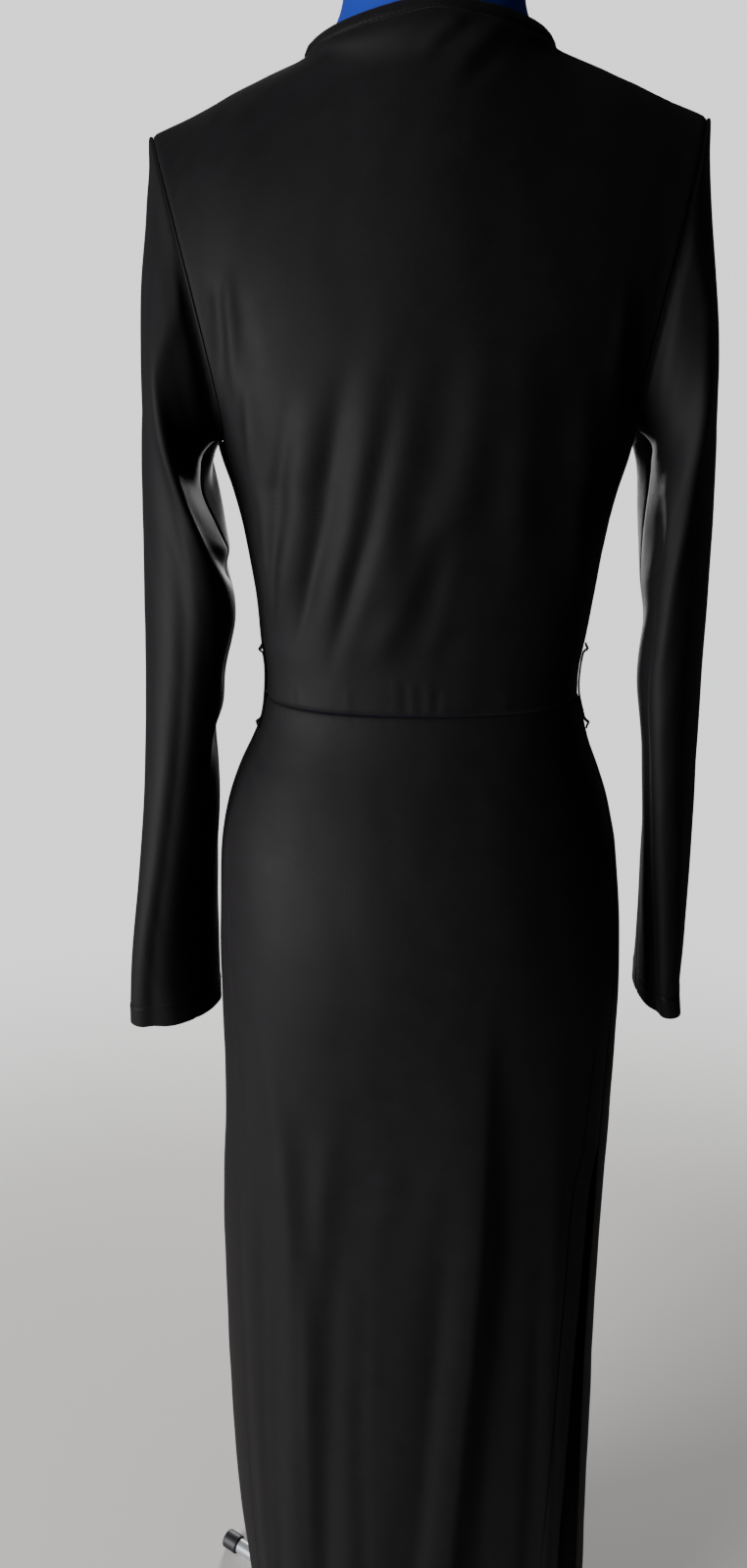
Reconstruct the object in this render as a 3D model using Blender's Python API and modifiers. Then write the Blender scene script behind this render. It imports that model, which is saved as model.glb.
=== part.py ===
import bpy
import bmesh
import math
from collections import namedtuple
from mathutils import Vector

for old in list(bpy.data.objects):
    bpy.data.objects.remove(old, do_unlink=True)

PARTS = bpy.data.collections.new("Wrap dress on a dress form")
bpy.context.scene.collection.children.link(PARTS)

# Metres. The floor is z = 0 and the stand's upright is on the z axis. The dress faces -Y, its back is toward
# +Y and the wearer's left is +X. Angles are in degrees about the z axis: 0 at the wearer's left side, 90 at
# the middle of the back, 180 at the right side and -90 at the middle of the front.

CLOTH = 0.0018               # wall of the jersey, seam allowances included
SEAM = 0.0003                # gap between two pieces at a seam
HAIR = 0.02                  # degrees off the side by which the back's columns are told from the front's
ARMHOLE_SEAM = 0.0005        # the same at the armholes, where the cloth turns
LAYER = 0.0042               # how far the under wrap lies inside the over wrap
BINDING_WIDTH = 0.009
BINDING_THICK = 0.0024
BINDING_PROUD = 0.0004       # how far the binding stands out from the panels
# Across the strip, with shares of how far it stands out and of how thick it is.
BINDING_SECTION = ((0.0, 1.0, 1.0), (0.5, 1.6, 1.0), (1.0, 0.6, 0.8))
WAIST = 1.027                # height of the waist seam
UNDERARM = 1.2085            # height of the ring where the armholes begin
DROP = 0.028                 # how far that ring drops away from the side, under the armhole's curve
DROP_SHARE = 0.30
DROP_FROM = 1.090
HEM = 0.040
SLIT_TOP = 0.677             # top of the slit in the wearer's right side seam
NECK_SHARE = 0.44            # share of the shoulder's width at which the neck edge begins
NECK_STEPS = 12
NECK_X, NECK_Y, NECK_Z = 0.080, -0.008, 1.4420
TIP_X, TIP_Y, TIP_Z = 0.179, 0.000, 1.4010
NAPE_Y, NAPE_Z = 0.056, 1.453
THROAT_Y, THROAT_Z = -0.058, 1.402
LEAN = -0.030                # the wearer's right shoulder stands a little higher than the left
SHIFT = 0.002

FORM_INSET = 0.0072          # from the cloth's outer face to the covered form
FRONT_INSET = 0.0024         # more of it at the front, under the two wraps
SHOULDER_INSET = 0.0024      # the dress rests on the form along the shoulders
REST_FROM, REST_TO = 0.46, 0.74
FORM_BOTTOM = 0.800
NECK_TOP = 1.512
FORM_SHARE = 0.90            # share of the shoulder's width that the form's shoulder fills
FORM_LEVELS = (FORM_BOTTOM, 0.812, 0.860, 0.910, 0.950, 0.980, 1.005, 1.030, 1.060, 1.100, 1.150, UNDERARM)
FORM_FOOT = 0.93             # the form's lowest ring, drawn in
ARM_PLATE_DOME = 0.004       # how far the end of each shoulder bulges
# Height, half width and half depth.
FORM_NECK = ((1.464, 0.0595, 0.0500), (1.485, 0.0575, 0.0500), (1.503, 0.0565, 0.0495),
             (1.510, 0.0520, 0.0465), (NECK_TOP, 0.0440, 0.0385))
NECK_BACK = -0.003
POLE_RADIUS = 0.0110
HUB_RADIUS, HUB_HEIGHT = 0.0280, 0.0400
HUB_OUTLINE = ((0.0, HUB_HEIGHT), (0.0148, HUB_HEIGHT), (0.0155, 0.0375), (0.0170, 0.0340), (0.0260, 0.0270),
               (HUB_RADIUS, 0.0240), (HUB_RADIUS, 0.0), (0.0, 0.0))    # radius and height
LEG_RADIUS, LEG_HEIGHT = 0.0075, 0.0095
CAP_RADIUS, CAP_LENGTH = 0.0095, 0.0180
CAP_ROUNDING = 0.0015
LEG_REACH = 0.2420           # from the upright to the end of a cap
LEG_TURN = 57.0              # turn of the four legs about the upright

# Sections of the cloth on its form: the half width on each side, and the depth behind and before the side.
Section = namedtuple("Section", "height left right back front")
SECTIONS = (
    Section(0.0400, 0.1490, 0.1665, 0.1230, 0.1210),
    Section(0.1340, 0.1543, 0.1656, 0.1205, 0.1180),
    Section(0.2600, 0.1634, 0.1623, 0.1170, 0.1140),
    Section(0.3790, 0.1664, 0.1600, 0.1140, 0.1110),
    Section(0.4630, 0.1667, 0.1578, 0.1120, 0.1090),
    Section(0.5940, 0.1650, 0.1576, 0.1110, 0.1060),
    Section(0.6920, 0.1608, 0.1580, 0.1140, 0.1060),
    Section(0.7840, 0.1598, 0.1577, 0.1200, 0.1085),
    Section(0.8280, 0.1592, 0.1558, 0.1225, 0.1100),
    Section(0.8710, 0.1571, 0.1522, 0.1215, 0.1105),
    Section(0.9120, 0.1546, 0.1472, 0.1155, 0.1095),
    Section(0.9320, 0.1515, 0.1429, 0.1100, 0.1080),
    Section(0.9520, 0.1462, 0.1378, 0.1030, 0.1055),
    Section(0.9720, 0.1387, 0.1306, 0.0950, 0.1025),
    Section(0.9910, 0.1291, 0.1235, 0.0875, 0.0990),
    Section(1.0110, 0.1212, 0.1180, 0.0810, 0.0970),
    Section(1.0290, 0.1184, 0.1135, 0.0780, 0.0960),
    Section(1.0480, 0.1180, 0.1135, 0.0785, 0.0970),
    Section(1.0670, 0.1205, 0.1163, 0.0805, 0.0990),
    Section(1.1030, 0.1230, 0.1212, 0.0855, 0.1040),
    Section(1.1380, 0.1284, 0.1262, 0.0905, 0.1090),
    Section(1.1720, 0.1344, 0.1335, 0.0950, 0.1125),
    Section(1.2085, 0.1460, 0.1465, 0.1000, 0.1150),
)

# Above the underarm each column of the torso is a curve from the ring to the shoulder seam or the neck edge,
# with these two guide points: one as it rises and one near its crest.
Column = namedtuple("Column", "share rise_x rise_y rise_z crest_x crest_y crest_z")
BACK_COLUMNS = (
    Column(0.00, 0.000, 0.107, 1.290, 0.000, 0.088, 1.395),
    Column(0.44, 0.098, 0.100, 1.285, 0.083, 0.060, 1.433),
    Column(0.72, 0.124, 0.095, 1.262, 0.131, 0.058, 1.413),
    Column(1.00, 0.120, 0.075, 1.195, 0.158, 0.078, 1.338),
)
FRONT_COLUMNS = (
    Column(0.00, 0.000, 0.116, 1.270, 0.000, 0.088, 1.362),
    Column(0.44, 0.097, 0.115, 1.275, 0.083, 0.060, 1.431),
    Column(0.72, 0.118, 0.100, 1.255, 0.131, 0.056, 1.409),
    Column(1.00, 0.116, 0.080, 1.193, 0.158, 0.070, 1.338),
)

# Side seams, in degrees from the side toward the back.
Seam = namedtuple("Seam", "height left right")
SIDE_SEAMS = (
    Seam(0.0400, 32.0, 31.0),
    Seam(0.6770, 31.0, 31.0),
    Seam(0.8000, 29.0, 28.0),
    Seam(0.9000, 24.0, 22.0),
    Seam(0.9800, 14.0, 14.0),
    Seam(1.0270, 10.0, 10.0),
    Seam(1.0600, 15.0, 12.0),
    Seam(1.1100, 24.0, 15.0),
    Seam(1.1650, 22.0, 13.0),
    Seam(1.2085, 0.0, 0.0),
)
Slit = namedtuple("Slit", "height back_edge front_edge")
SLIT = (
    Slit(0.0400, 45.0, 29.0),
    Slit(0.2400, 43.0, 29.5),
    Slit(0.3900, 40.0, 30.0),
    Slit(0.5300, 37.0, 30.0),
    Slit(0.6200, 36.0, 30.0),
    Slit(0.6500, 34.5, 30.5),
    Slit(0.6770, 31.0, 31.0),
)

# Edges of the two wraps: degrees past the middle of the front, toward the other side.
Wrap = namedtuple("Wrap", "height past_middle")
SKIRT_WRAP = (Wrap(0.04, 62.0), Wrap(0.45, 59.0), Wrap(0.80, 57.0), Wrap(1.027, 55.0))
BODICE_WRAP = (Wrap(1.027, 55.0), Wrap(1.10, 33.0), Wrap(1.2085, 8.0))
NECK_PAST_MIDDLE = -39.6     # at the shoulder seam, which is the same as the neck share

WRAP_MARGIN = 9.0            # degrees past the over wrap's edge to which the under wrap lies fully inside
WRAP_FADE = 16.0             # and the degrees over which it then comes out to the surface

# Folds: each is a soft ridge through three heights, with its own width toward the left and toward the right.
Fold = namedtuple("Fold", "top top_angle middle middle_angle bottom bottom_angle height "
                          "left_width right_width")
SKIRT_FOLDS = (
    Fold(0.80, 35.5, 0.67, 36.8, 0.52, 38.0, 0.0030, 0.011, 0.012),
    Fold(0.84, 42.0, 0.59, 54.0, 0.30, 53.0, 0.0065, 0.014, 0.013),
    Fold(0.76, 64.5, 0.65, 63.2, 0.46, 60.5, 0.0035, 0.010, 0.010),
    Fold(0.72, 71.5, 0.52, 70.2, 0.20, 66.5, 0.0040, 0.011, 0.012),
    Fold(0.79, 83.0, 0.52, 77.8, 0.20, 71.5, 0.0050, 0.012, 0.013),
    Fold(0.76, 92.5, 0.55, 87.0, 0.30, 80.5, 0.0045, 0.012, 0.012),
    Fold(0.86, 103.0, 0.60, 101.5, 0.28, 94.2, 0.0100, 0.020, 0.011),
    Fold(0.78, 119.0, 0.55, 119.5, 0.25, 117.0, 0.0035, 0.012, 0.014),
    Fold(0.80, 126.5, 0.55, 129.2, 0.25, 130.6, 0.0050, 0.012, 0.012),
    Fold(0.74, 2.0, 0.50, 4.0, 0.25, 5.0, 0.0020, 0.014, 0.014),
    Fold(0.80, -22.0, 0.55, -24.0, 0.22, -27.0, 0.0045, 0.015, 0.016),
    Fold(0.74, -48.0, 0.50, -50.0, 0.22, -53.0, 0.0040, 0.016, 0.017),
    Fold(0.82, -70.0, 0.55, -73.0, 0.22, -78.0, 0.0050, 0.018, 0.016),
    Fold(0.76, -98.0, 0.52, -100.0, 0.20, -104.0, 0.0045, 0.016, 0.017),
    Fold(0.82, -123.0, 0.55, -126.0, 0.22, -130.0, 0.0052, 0.017, 0.018),
    Fold(0.76, -150.0, 0.50, -152.0, 0.22, -155.0, 0.0040, 0.016, 0.016),
)
BODICE_FOLDS = (
    Fold(1.27, 33.0, 1.20, 34.0, 1.13, 33.0, 0.0030, 0.010, 0.012),
    Fold(1.22, 42.0, 1.15, 37.0, 1.08, 28.0, 0.0030, 0.009, 0.011),
    Fold(1.26, 60.0, 1.14, 46.5, 1.06, 30.0, 0.0042, 0.010, 0.012),
    Fold(1.29, 77.5, 1.16, 67.5, 1.06, 51.5, 0.0045, 0.010, 0.012),
    Fold(1.28, 88.0, 1.15, 76.5, 1.05, 60.0, 0.0042, 0.010, 0.012),
    Fold(1.17, 85.0, 1.10, 78.5, 1.05, 71.5, 0.0030, 0.009, 0.010),
    Fold(1.29, 103.0, 1.21, 101.0, 1.12, 91.0, 0.0036, 0.011, 0.013),
    Fold(1.30, 113.0, 1.20, 114.0, 1.11, 116.0, 0.0028, 0.012, 0.014),
    Fold(1.27, 133.0, 1.17, 136.0, 1.09, 142.0, 0.0026, 0.012, 0.014),
    Fold(1.17, -40.0, 1.11, -50.0, 1.06, -58.0, 0.0028, 0.011, 0.012),
    Fold(1.16, -62.0, 1.10, -68.0, 1.05, -72.0, 0.0026, 0.010, 0.011),
    Fold(1.18, -108.0, 1.11, -112.0, 1.05, -116.0, 0.0030, 0.011, 0.012),
    Fold(1.16, -134.0, 1.10, -136.0, 1.05, -137.0, 0.0026, 0.011, 0.012),
)
BUST = ((0.081, 1.192), (-0.081, 1.192))
BUST_RADIUS, BUST_DEPTH = 0.041, 0.019

# Sleeve stations from armhole to hem: the ring's middle, how much higher its outer side is than its middle,
# its half length and half thickness, and how far its long way turns from straight front to back.
Ring = namedtuple("Ring", "height tilt middle_x middle_y long short turn")
SLEEVE_LEFT = (
    Ring(1.3020, 0.0965, 0.1635, 0.004, 0.0520, 0.0160, 0.0),
    Ring(1.2830, 0.0880, 0.1665, 0.005, 0.0560, 0.0170, 2.0),
    Ring(1.2520, 0.0760, 0.1720, 0.005, 0.0590, 0.0160, 4.0),
    Ring(1.2060, 0.0620, 0.1677, 0.006, 0.0615, 0.0219, 5.0),
    Ring(1.1560, 0.0460, 0.1684, 0.006, 0.0570, 0.0287, -5.0),
    Ring(1.1000, 0.0300, 0.1728, 0.006, 0.0520, 0.0284, -13.0),
    Ring(1.0450, 0.0150, 0.1776, 0.006, 0.0500, 0.0267, -11.0),
    Ring(0.9850, 0.0020, 0.1815, 0.006, 0.0490, 0.0272, -3.0),
    Ring(0.9150, 0.0000, 0.1867, 0.005, 0.0485, 0.0267, 9.0),
    Ring(0.8450, 0.0000, 0.1930, 0.004, 0.0480, 0.0253, 22.0),
    Ring(0.7900, 0.0000, 0.1968, 0.003, 0.0445, 0.0250, 34.0),
    Ring(0.7605, 0.0000, 0.1984, 0.002, 0.0410, 0.0250, 44.0),
)
SLEEVE_RIGHT = (
    Ring(1.3020, 0.0965, 0.1635, 0.004, 0.0520, 0.0160, 0.0),
    Ring(1.2830, 0.0880, 0.1665, 0.005, 0.0560, 0.0170, 1.0),
    Ring(1.2520, 0.0760, 0.1700, 0.005, 0.0590, 0.0165, 2.0),
    Ring(1.2060, 0.0620, 0.1726, 0.006, 0.0615, 0.0195, 0.0),
    Ring(1.1560, 0.0460, 0.1766, 0.006, 0.0570, 0.0227, -8.0),
    Ring(1.1000, 0.0300, 0.1795, 0.006, 0.0525, 0.0228, -16.0),
    Ring(1.0450, 0.0150, 0.1811, 0.006, 0.0505, 0.0215, -20.0),
    Ring(0.9850, 0.0020, 0.1849, 0.006, 0.0495, 0.0196, -20.0),
    Ring(0.9150, 0.0000, 0.1877, 0.005, 0.0490, 0.0197, -15.0),
    Ring(0.8450, 0.0000, 0.1899, 0.004, 0.0490, 0.0180, -8.0),
    Ring(0.7980, 0.0000, 0.1901, 0.003, 0.0480, 0.0162, -3.0),
    Ring(0.7760, 0.0000, 0.1915, 0.002, 0.0462, 0.0158, 1.0),
)

LOOP_WIDTH = 0.0060
# Height, gap to the side seam and thickness; the ends are folded under.
LOOP_ROWS = ((1.066, 0.0005, 0.0025), (1.061, 0.0005, 0.0025), (1.052, 0.0010, 0.0014),
             (1.038, 0.0010, 0.0014), (WAIST, 0.0010, 0.0014), (1.015, 0.0010, 0.0014),
             (1.006, 0.0005, 0.0025), (1.002, 0.0005, 0.0025))

SLEEVE_STEPS = (0.025, 0.07, 0.13, 0.20, 0.28, 0.37, 0.46, 0.55, 0.64, 0.73, 0.82, 0.91, 1.0)
ARMHOLE_REACH = 0.28         # share of the sleeve over which the armhole's shape turns into the sleeve's own
UNDERARM_EASE = 0.012        # fullness of the sleeve below the underarm
CAP_OUT, CAP_OUT_MORE, CAP_DOWN = 0.0038, -0.0016, 0.0008    # first ring of a sleeve, off the armhole's edge

BODICE_LEVELS = (WAIST, 1.041, 1.060, 1.092, 1.130, 1.169, UNDERARM)
BODICE_RISES = (0.06, 0.14, 0.25, 0.39, 0.54, 0.70, 0.86, 1.00)
SKIRT_LEVELS = (WAIST, 1.014, 0.998, 0.978, 0.952, 0.915, 0.850, 0.765, SLIT_TOP, 0.645, 0.560, 0.410,
                0.230, HEM)

NECK_SIDE_STEPS = 6          # columns from the armhole to the neck edge, on each side of the neck
FRONT_BODICE_STEPS = 18
BACK_SKIRT_STEPS = 36
RIGHT_SKIRT_STEPS = 25
LEFT_SKIRT_STEPS = 23

BLACK_JERSEY = ("black jersey", (0.010, 0.010, 0.011, 1.0), 0.75, 0.0)
BLACK_BINDING = ("black jersey binding", (0.009, 0.009, 0.010, 1.0), 0.70, 0.0)
BLUE_COVER = ("blue knit cover", (0.035, 0.110, 0.640, 1.0), 0.80, 0.0)
GREY_METAL = ("grey painted tube", (0.420, 0.430, 0.450, 1.0), 0.40, 0.6)
BLACK_PLASTIC = ("black plastic", (0.018, 0.018, 0.020, 1.0), 0.50, 0.0)


def clamp(value, low=0.0, high=1.0):
    return max(low, min(high, value))


def smooth(value):
    value = clamp(value)
    return value * value * (3.0 - 2.0 * value)


def between(rows, at):
    """The other columns of a table, on a smooth curve through its rows, at a value of its first column."""
    at = clamp(at, rows[0][0], rows[-1][0])
    last = len(rows) - 1
    i = 0
    while i < last - 1 and at > rows[i + 1][0]:
        i += 1
    a, b = rows[i], rows[i + 1]
    before, after = rows[max(i - 1, 0)], rows[min(i + 2, last)]
    span = b[0] - a[0]
    t = (at - a[0]) / span
    values = []
    for k in range(1, len(a)):
        slope_a = (b[k] - before[k]) / (b[0] - before[0]) * span
        slope_b = (after[k] - a[k]) / (after[0] - a[0]) * span
        values.append((2 * t ** 3 - 3 * t ** 2 + 1) * a[k] + (t ** 3 - 2 * t ** 2 + t) * slope_a
                      + (3 * t ** 2 - 2 * t ** 3) * b[k] + (t ** 3 - t ** 2) * slope_b)
    return values


def lean(point):
    """The small lean of the shoulders."""
    share = smooth((point.z - 1.06) / 0.24)
    return Vector((point.x + SHIFT * share, point.y, point.z + LEAN * point.x * share))


def turn_of(angle):
    return (angle + 180.0) % 360.0 - 180.0


def share_of(angle):
    """From 1 at the wearer's left side to -1 at the right side, on the back and on the front alike."""
    return 1.0 - abs(turn_of(angle)) / 90.0


def ring_point(angle, height):
    away = clamp((1.0 - abs(share_of(angle))) / DROP_SHARE)
    height -= DROP * (1.0 - (1.0 - away) ** 2) * smooth((height - DROP_FROM) / (UNDERARM - DROP_FROM))
    left, right, back, front = between(SECTIONS, height)
    c, s = math.cos(math.radians(angle)), math.sin(math.radians(angle))
    fuller = 1.0 + 0.05 * (2.0 * s * c) ** 2
    x = (left if c > 0 else right) * c * fuller
    y = (back if s > 0 else front) * s * fuller
    return Vector((x, y, height))


def crest(share, behind):
    """The end of a column: on the shoulder seam, or on the neck edge in the middle."""
    side = math.copysign(1.0, share)
    out = abs(share)
    if out >= NECK_SHARE:
        t = (out - NECK_SHARE) / (1.0 - NECK_SHARE)
        return Vector((side * (NECK_X + (TIP_X - NECK_X) * t), NECK_Y + (TIP_Y - NECK_Y) * t,
                       NECK_Z + (TIP_Z - NECK_Z) * t))
    turn = out / NECK_SHARE * math.pi / 2.0
    end_y, end_z = (NAPE_Y, NAPE_Z) if behind else (THROAT_Y, THROAT_Z)
    return Vector((side * NECK_X * math.sin(turn), NECK_Y + (end_y - NECK_Y) * math.cos(turn),
                   NECK_Z + (end_z - NECK_Z) * (1.0 - math.sin(turn))))


def base(angle, rise):
    """The smooth torso. A rise below 0 is metres under the underarm ring; 0 to 1 runs from it to the crest."""
    if rise <= 0.0:
        return lean(ring_point(angle, UNDERARM + rise))
    angle = turn_of(angle)
    behind = angle > 0.0 or angle <= -180.0
    share = share_of(angle)
    side = math.copysign(1.0, share)
    rows = BACK_COLUMNS if behind else FRONT_COLUMNS
    rx, ry, rz, cx, cy, cz = between(rows, abs(share))
    facing = 1.0 if behind else -1.0
    start = ring_point(angle, UNDERARM)
    first = Vector((side * rx, facing * ry, rz))
    second = Vector((side * cx, facing * cy, cz))
    end = crest(share, behind)
    t = rise
    point = start * (1 - t) ** 3 + first * (3 * t * (1 - t) ** 2)
    point += second * (3 * t * t * (1 - t)) + end * t ** 3
    return lean(point)


def facing_of(angle, rise):
    """Outward direction of the smooth torso."""
    angle = turn_of(angle)
    step = 0.6
    if rise > 0.0:
        sign = 1.0 if angle > 0.0 else -1.0
        low = sign * max(abs(angle) - step, 0.01)
        high = sign * min(abs(angle) + step, 179.99)
        over = min(rise + 0.01, 1.0)
        under = max(rise - 0.01, 0.001)
    else:
        sign = 1.0
        low, high = angle - step, angle + step
        over = min(rise + 0.002, 0.0)
        under = over - 0.004
    across = (base(high, rise) - base(low, rise)) * sign
    up = base(angle, over) - base(angle, under)
    return across.cross(up).normalized()


def normal_of(angle, rise):
    if rise > 0.995 and abs(share_of(angle)) >= NECK_SHARE - 0.001:
        a = clamp(abs(turn_of(angle)), 0.01, 179.99)
        return (facing_of(a, rise) + facing_of(-a, rise)).normalized()
    if 0.0 < rise < 0.995 and abs(share_of(angle)) > 0.999:
        a = turn_of(angle)
        near = 1.0 if abs(a) < 90.0 else 179.0
        return facing_of(math.copysign(near, a), rise)
    return facing_of(angle, rise)


def ridge(folds, angle, point):
    """How far the folds lift the cloth here."""
    lift = 0.0
    reach = math.hypot(point.x, point.y)
    for fold in folds:
        span = fold.top - fold.bottom
        if point.z > fold.top + 0.3 * span:
            continue
        rows = ((fold.bottom, fold.bottom_angle), (fold.middle, fold.middle_angle),
                (fold.top, fold.top_angle))
        if point.z < fold.bottom:
            slope = (fold.bottom_angle - fold.middle_angle) / (fold.middle - fold.bottom)
            at = fold.bottom_angle + slope * (fold.bottom - point.z)
        else:
            at = between(rows, point.z)[0]
        off = math.radians(turn_of(angle - at)) * reach
        width = fold.left_width if off < 0.0 else fold.right_width
        shape = math.exp(-(off / width) ** 2)
        lift += fold.height * shape * window(fold, point.z)
    return lift


def window(fold, height):
    """Folds grow from their top; a skirt fold runs on to the hem, and a bodice fold fades again."""
    span = fold.top - fold.bottom
    grown = smooth((fold.top - height) / (0.45 * span))
    if fold.bottom < WAIST < fold.top + 1.0 and fold.top < WAIST:
        return grown
    return grown * smooth((height - fold.bottom) / (0.35 * span))


def bust(point):
    """The fullness over the bust; none at the sides."""
    lift = 0.0
    for x, z in BUST:
        away = (point.x - x) ** 2 + (point.z - z) ** 2 * 0.8
        lift += BUST_DEPTH * math.exp(-away / (2 * BUST_RADIUS ** 2))
    return lift * smooth((-point.y - 0.035) / 0.055)


def fold_at(angle, point):
    if point.z < WAIST:
        return ridge(SKIRT_FOLDS, angle, point)
    return ridge(BODICE_FOLDS, angle, point) + bust(point)


def cloth(angle, rise, inside=0.0):
    """A point on the cloth's outer face, with the outward direction there."""
    point = base(angle, rise)
    normal = normal_of(angle, rise)
    return point + normal * (fold_at(angle, point) - inside), normal


def degrees_for(angle, rise, distance):
    """The angle that covers a distance along the cloth here."""
    width = (base(angle + 0.5, rise) - base(angle - 0.5, rise)).length
    return distance / max(width, 1e-6)


def dress_up(obj, name, stuff):
    """Names the object, gives it its own material, and puts it in the collection."""
    label, colour, roughness, metallic = stuff
    material = bpy.data.materials.new(name + " " + label)
    material.use_nodes = True
    shader = material.node_tree.nodes["Principled BSDF"]
    shader.inputs["Base Color"].default_value = colour
    shader.inputs["Roughness"].default_value = roughness
    shader.inputs["Metallic"].default_value = metallic
    obj.name = obj.data.name = name
    obj.data.materials.append(material)
    obj.data.shade_smooth()
    obj.data.set_sharp_from_angle(angle=math.radians(40.0))
    for holder in list(obj.users_collection):
        holder.objects.unlink(obj)
    PARTS.objects.link(obj)
    return obj


def finish(name, bm, stuff):
    bmesh.ops.recalc_face_normals(bm, faces=bm.faces)
    if bm.calc_volume(signed=True) < 0.0:
        bmesh.ops.reverse_faces(bm, faces=bm.faces)
    mesh = bpy.data.meshes.new(name)
    bm.to_mesh(mesh)
    bm.free()
    return dress_up(bpy.data.objects.new(name, mesh), name, stuff)


def wall(name, outer, inner, closed, stuff):
    """A closed wall between two grids of points, given row by row; a closed tube joins its last column to its
    first."""
    bm = bmesh.new()
    out = [[bm.verts.new(p) for p in row] for row in outer]
    into = [[bm.verts.new(p) for p in row] for row in inner]
    rows, columns = len(outer), len(outer[0])
    steps = columns if closed else columns - 1
    for r in range(rows - 1):
        for c in range(steps):
            d = (c + 1) % columns
            bm.faces.new((out[r][c], out[r][d], out[r + 1][d], out[r + 1][c]))
            bm.faces.new((into[r][c], into[r + 1][c], into[r + 1][d], into[r][d]))
    for r in (0, rows - 1):
        for c in range(steps):
            d = (c + 1) % columns
            bm.faces.new((out[r][c], out[r][d], into[r][d], into[r][c]))
    if not closed:
        for c in (0, columns - 1):
            for r in range(rows - 1):
                bm.faces.new((out[r][c], out[r + 1][c], into[r + 1][c], into[r][c]))
    return finish(name, bm, stuff)


def panel(rises, edges, shares, inside_at):
    """The outer and inner grids of a cloth panel, from its two edge angles at each rise and its columns'
    shares."""
    outer, inner = [], []
    for rise in rises:
        first, last = edges(rise)
        row_out, row_in = [], []
        for share in shares:
            angle = first + (last - first) * share
            point, normal = cloth(angle, rise, inside_at(angle, rise))
            row_out.append(point)
            row_in.append(point - normal * CLOTH)
        outer.append(row_out)
        inner.append(row_in)
    return outer, inner


def shift_rows(outer, inner, row, distance):
    for points in (outer[row], inner[row]):
        for point in points:
            point.z += distance


def side_angle(height, left):
    to_left, to_right = between(SIDE_SEAMS, height)
    return to_left if left else 180.0 - to_right


def wrap_edge(rise):
    """Degrees past the middle of the front at which the wraps' edges lie."""
    if rise > 0.0:
        start = BODICE_WRAP[-1].past_middle
        return start + (NECK_PAST_MIDDLE - start) * rise
    height = UNDERARM + rise
    if height < WAIST - 1e-6:
        return between(SKIRT_WRAP, height)[0]
    return between(BODICE_WRAP, height)[0]


def flat(angle, rise):
    return 0.0


def under_over(angle, rise):
    """How far the under wrap lies inside: all of it under the over wrap, and none at its own side seam."""
    past = turn_of(angle) + 90.0
    covered = wrap_edge(rise) + WRAP_MARGIN
    return LAYER * smooth((covered + WRAP_FADE - past) / WRAP_FADE)


def rises_of(levels, rises=()):
    return [level - UNDERARM for level in levels] + list(rises)


def spread(*parts):
    """Shares from (end, steps) pairs, starting at 0."""
    shares, start = [0.0], 0.0
    for end, steps in parts:
        shares += [start + (end - start) * (i + 1) / steps for i in range(steps)]
        start = end
    return shares


def seam_of(rise, left, back):
    """A side seam's edge angle for the back or the front, half a seam gap to its own side. Above the underarm
    it is the armhole's edge, on the back's columns or on the front's."""
    to_back = 1.0 if left == back else -1.0
    if rise > 0.0:
        return (0.0 if left else 180.0) + to_back * HAIR
    angle = side_angle(UNDERARM + rise, left)
    return angle + to_back * degrees_for(angle, rise, SEAM / 2.0)


def back_edges(rise):
    first, last = seam_of(rise, False, True), seam_of(rise, True, True)
    if UNDERARM + rise < SLIT_TOP - 1e-6:
        first = 180.0 - between(SLIT, UNDERARM + rise)[0]
    return first, last


def right_front_edges(rise):
    first = seam_of(rise, False, False)
    if UNDERARM + rise < SLIT_TOP - 1e-6:
        first = 180.0 - between(SLIT, UNDERARM + rise)[1]
    return first - 360.0, -90.0 + wrap_edge(rise)


def left_front_edges(rise):
    return seam_of(rise, True, False), -90.0 - wrap_edge(rise)


def skirt_panel(name, edges, shares, inside_at):
    outer, inner = panel(rises_of(SKIRT_LEVELS), edges, shares, inside_at)
    shift_rows(outer, inner, 0, -SEAM / 2.0)
    wall(name, outer, inner, False, BLACK_JERSEY)


def shoulder_gap(outer, inner, forward):
    """Moves the shoulder seam's ends half a seam gap to the back or to the front."""
    for points in (outer[-1], inner[-1]):
        for point in points:
            point.y += forward


def make_bodice():
    neck = (1.0 - NECK_SHARE) / 2.0
    shares = spread((neck, NECK_SIDE_STEPS), (1.0 - neck, NECK_STEPS), (1.0, NECK_SIDE_STEPS))
    rises = rises_of(BODICE_LEVELS, BODICE_RISES)
    outer, inner = panel(rises, back_edges, shares, flat)
    shift_rows(outer, inner, 0, SEAM / 2.0)
    shoulder_gap(outer, inner, SEAM / 2.0)
    wall("back_bodice", outer, inner, False, BLACK_JERSEY)
    for name, edges, inside_at in (("right_front_bodice", right_front_edges, flat),
                                   ("left_front_bodice", left_front_edges, under_over)):
        outer, inner = panel(rises, edges, spread((1.0, FRONT_BODICE_STEPS)), inside_at)
        shift_rows(outer, inner, 0, SEAM / 2.0)
        shoulder_gap(outer, inner, -SEAM / 2.0)
        wall(name, outer, inner, False, BLACK_JERSEY)


def make_skirt():
    skirt_panel("back_skirt", back_edges, spread((1.0, BACK_SKIRT_STEPS)), flat)
    skirt_panel("right_front_skirt", right_front_edges, spread((1.0, RIGHT_SKIRT_STEPS)), flat)
    skirt_panel("left_front_skirt", left_front_edges, spread((1.0, LEFT_SKIRT_STEPS)), under_over)


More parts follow.
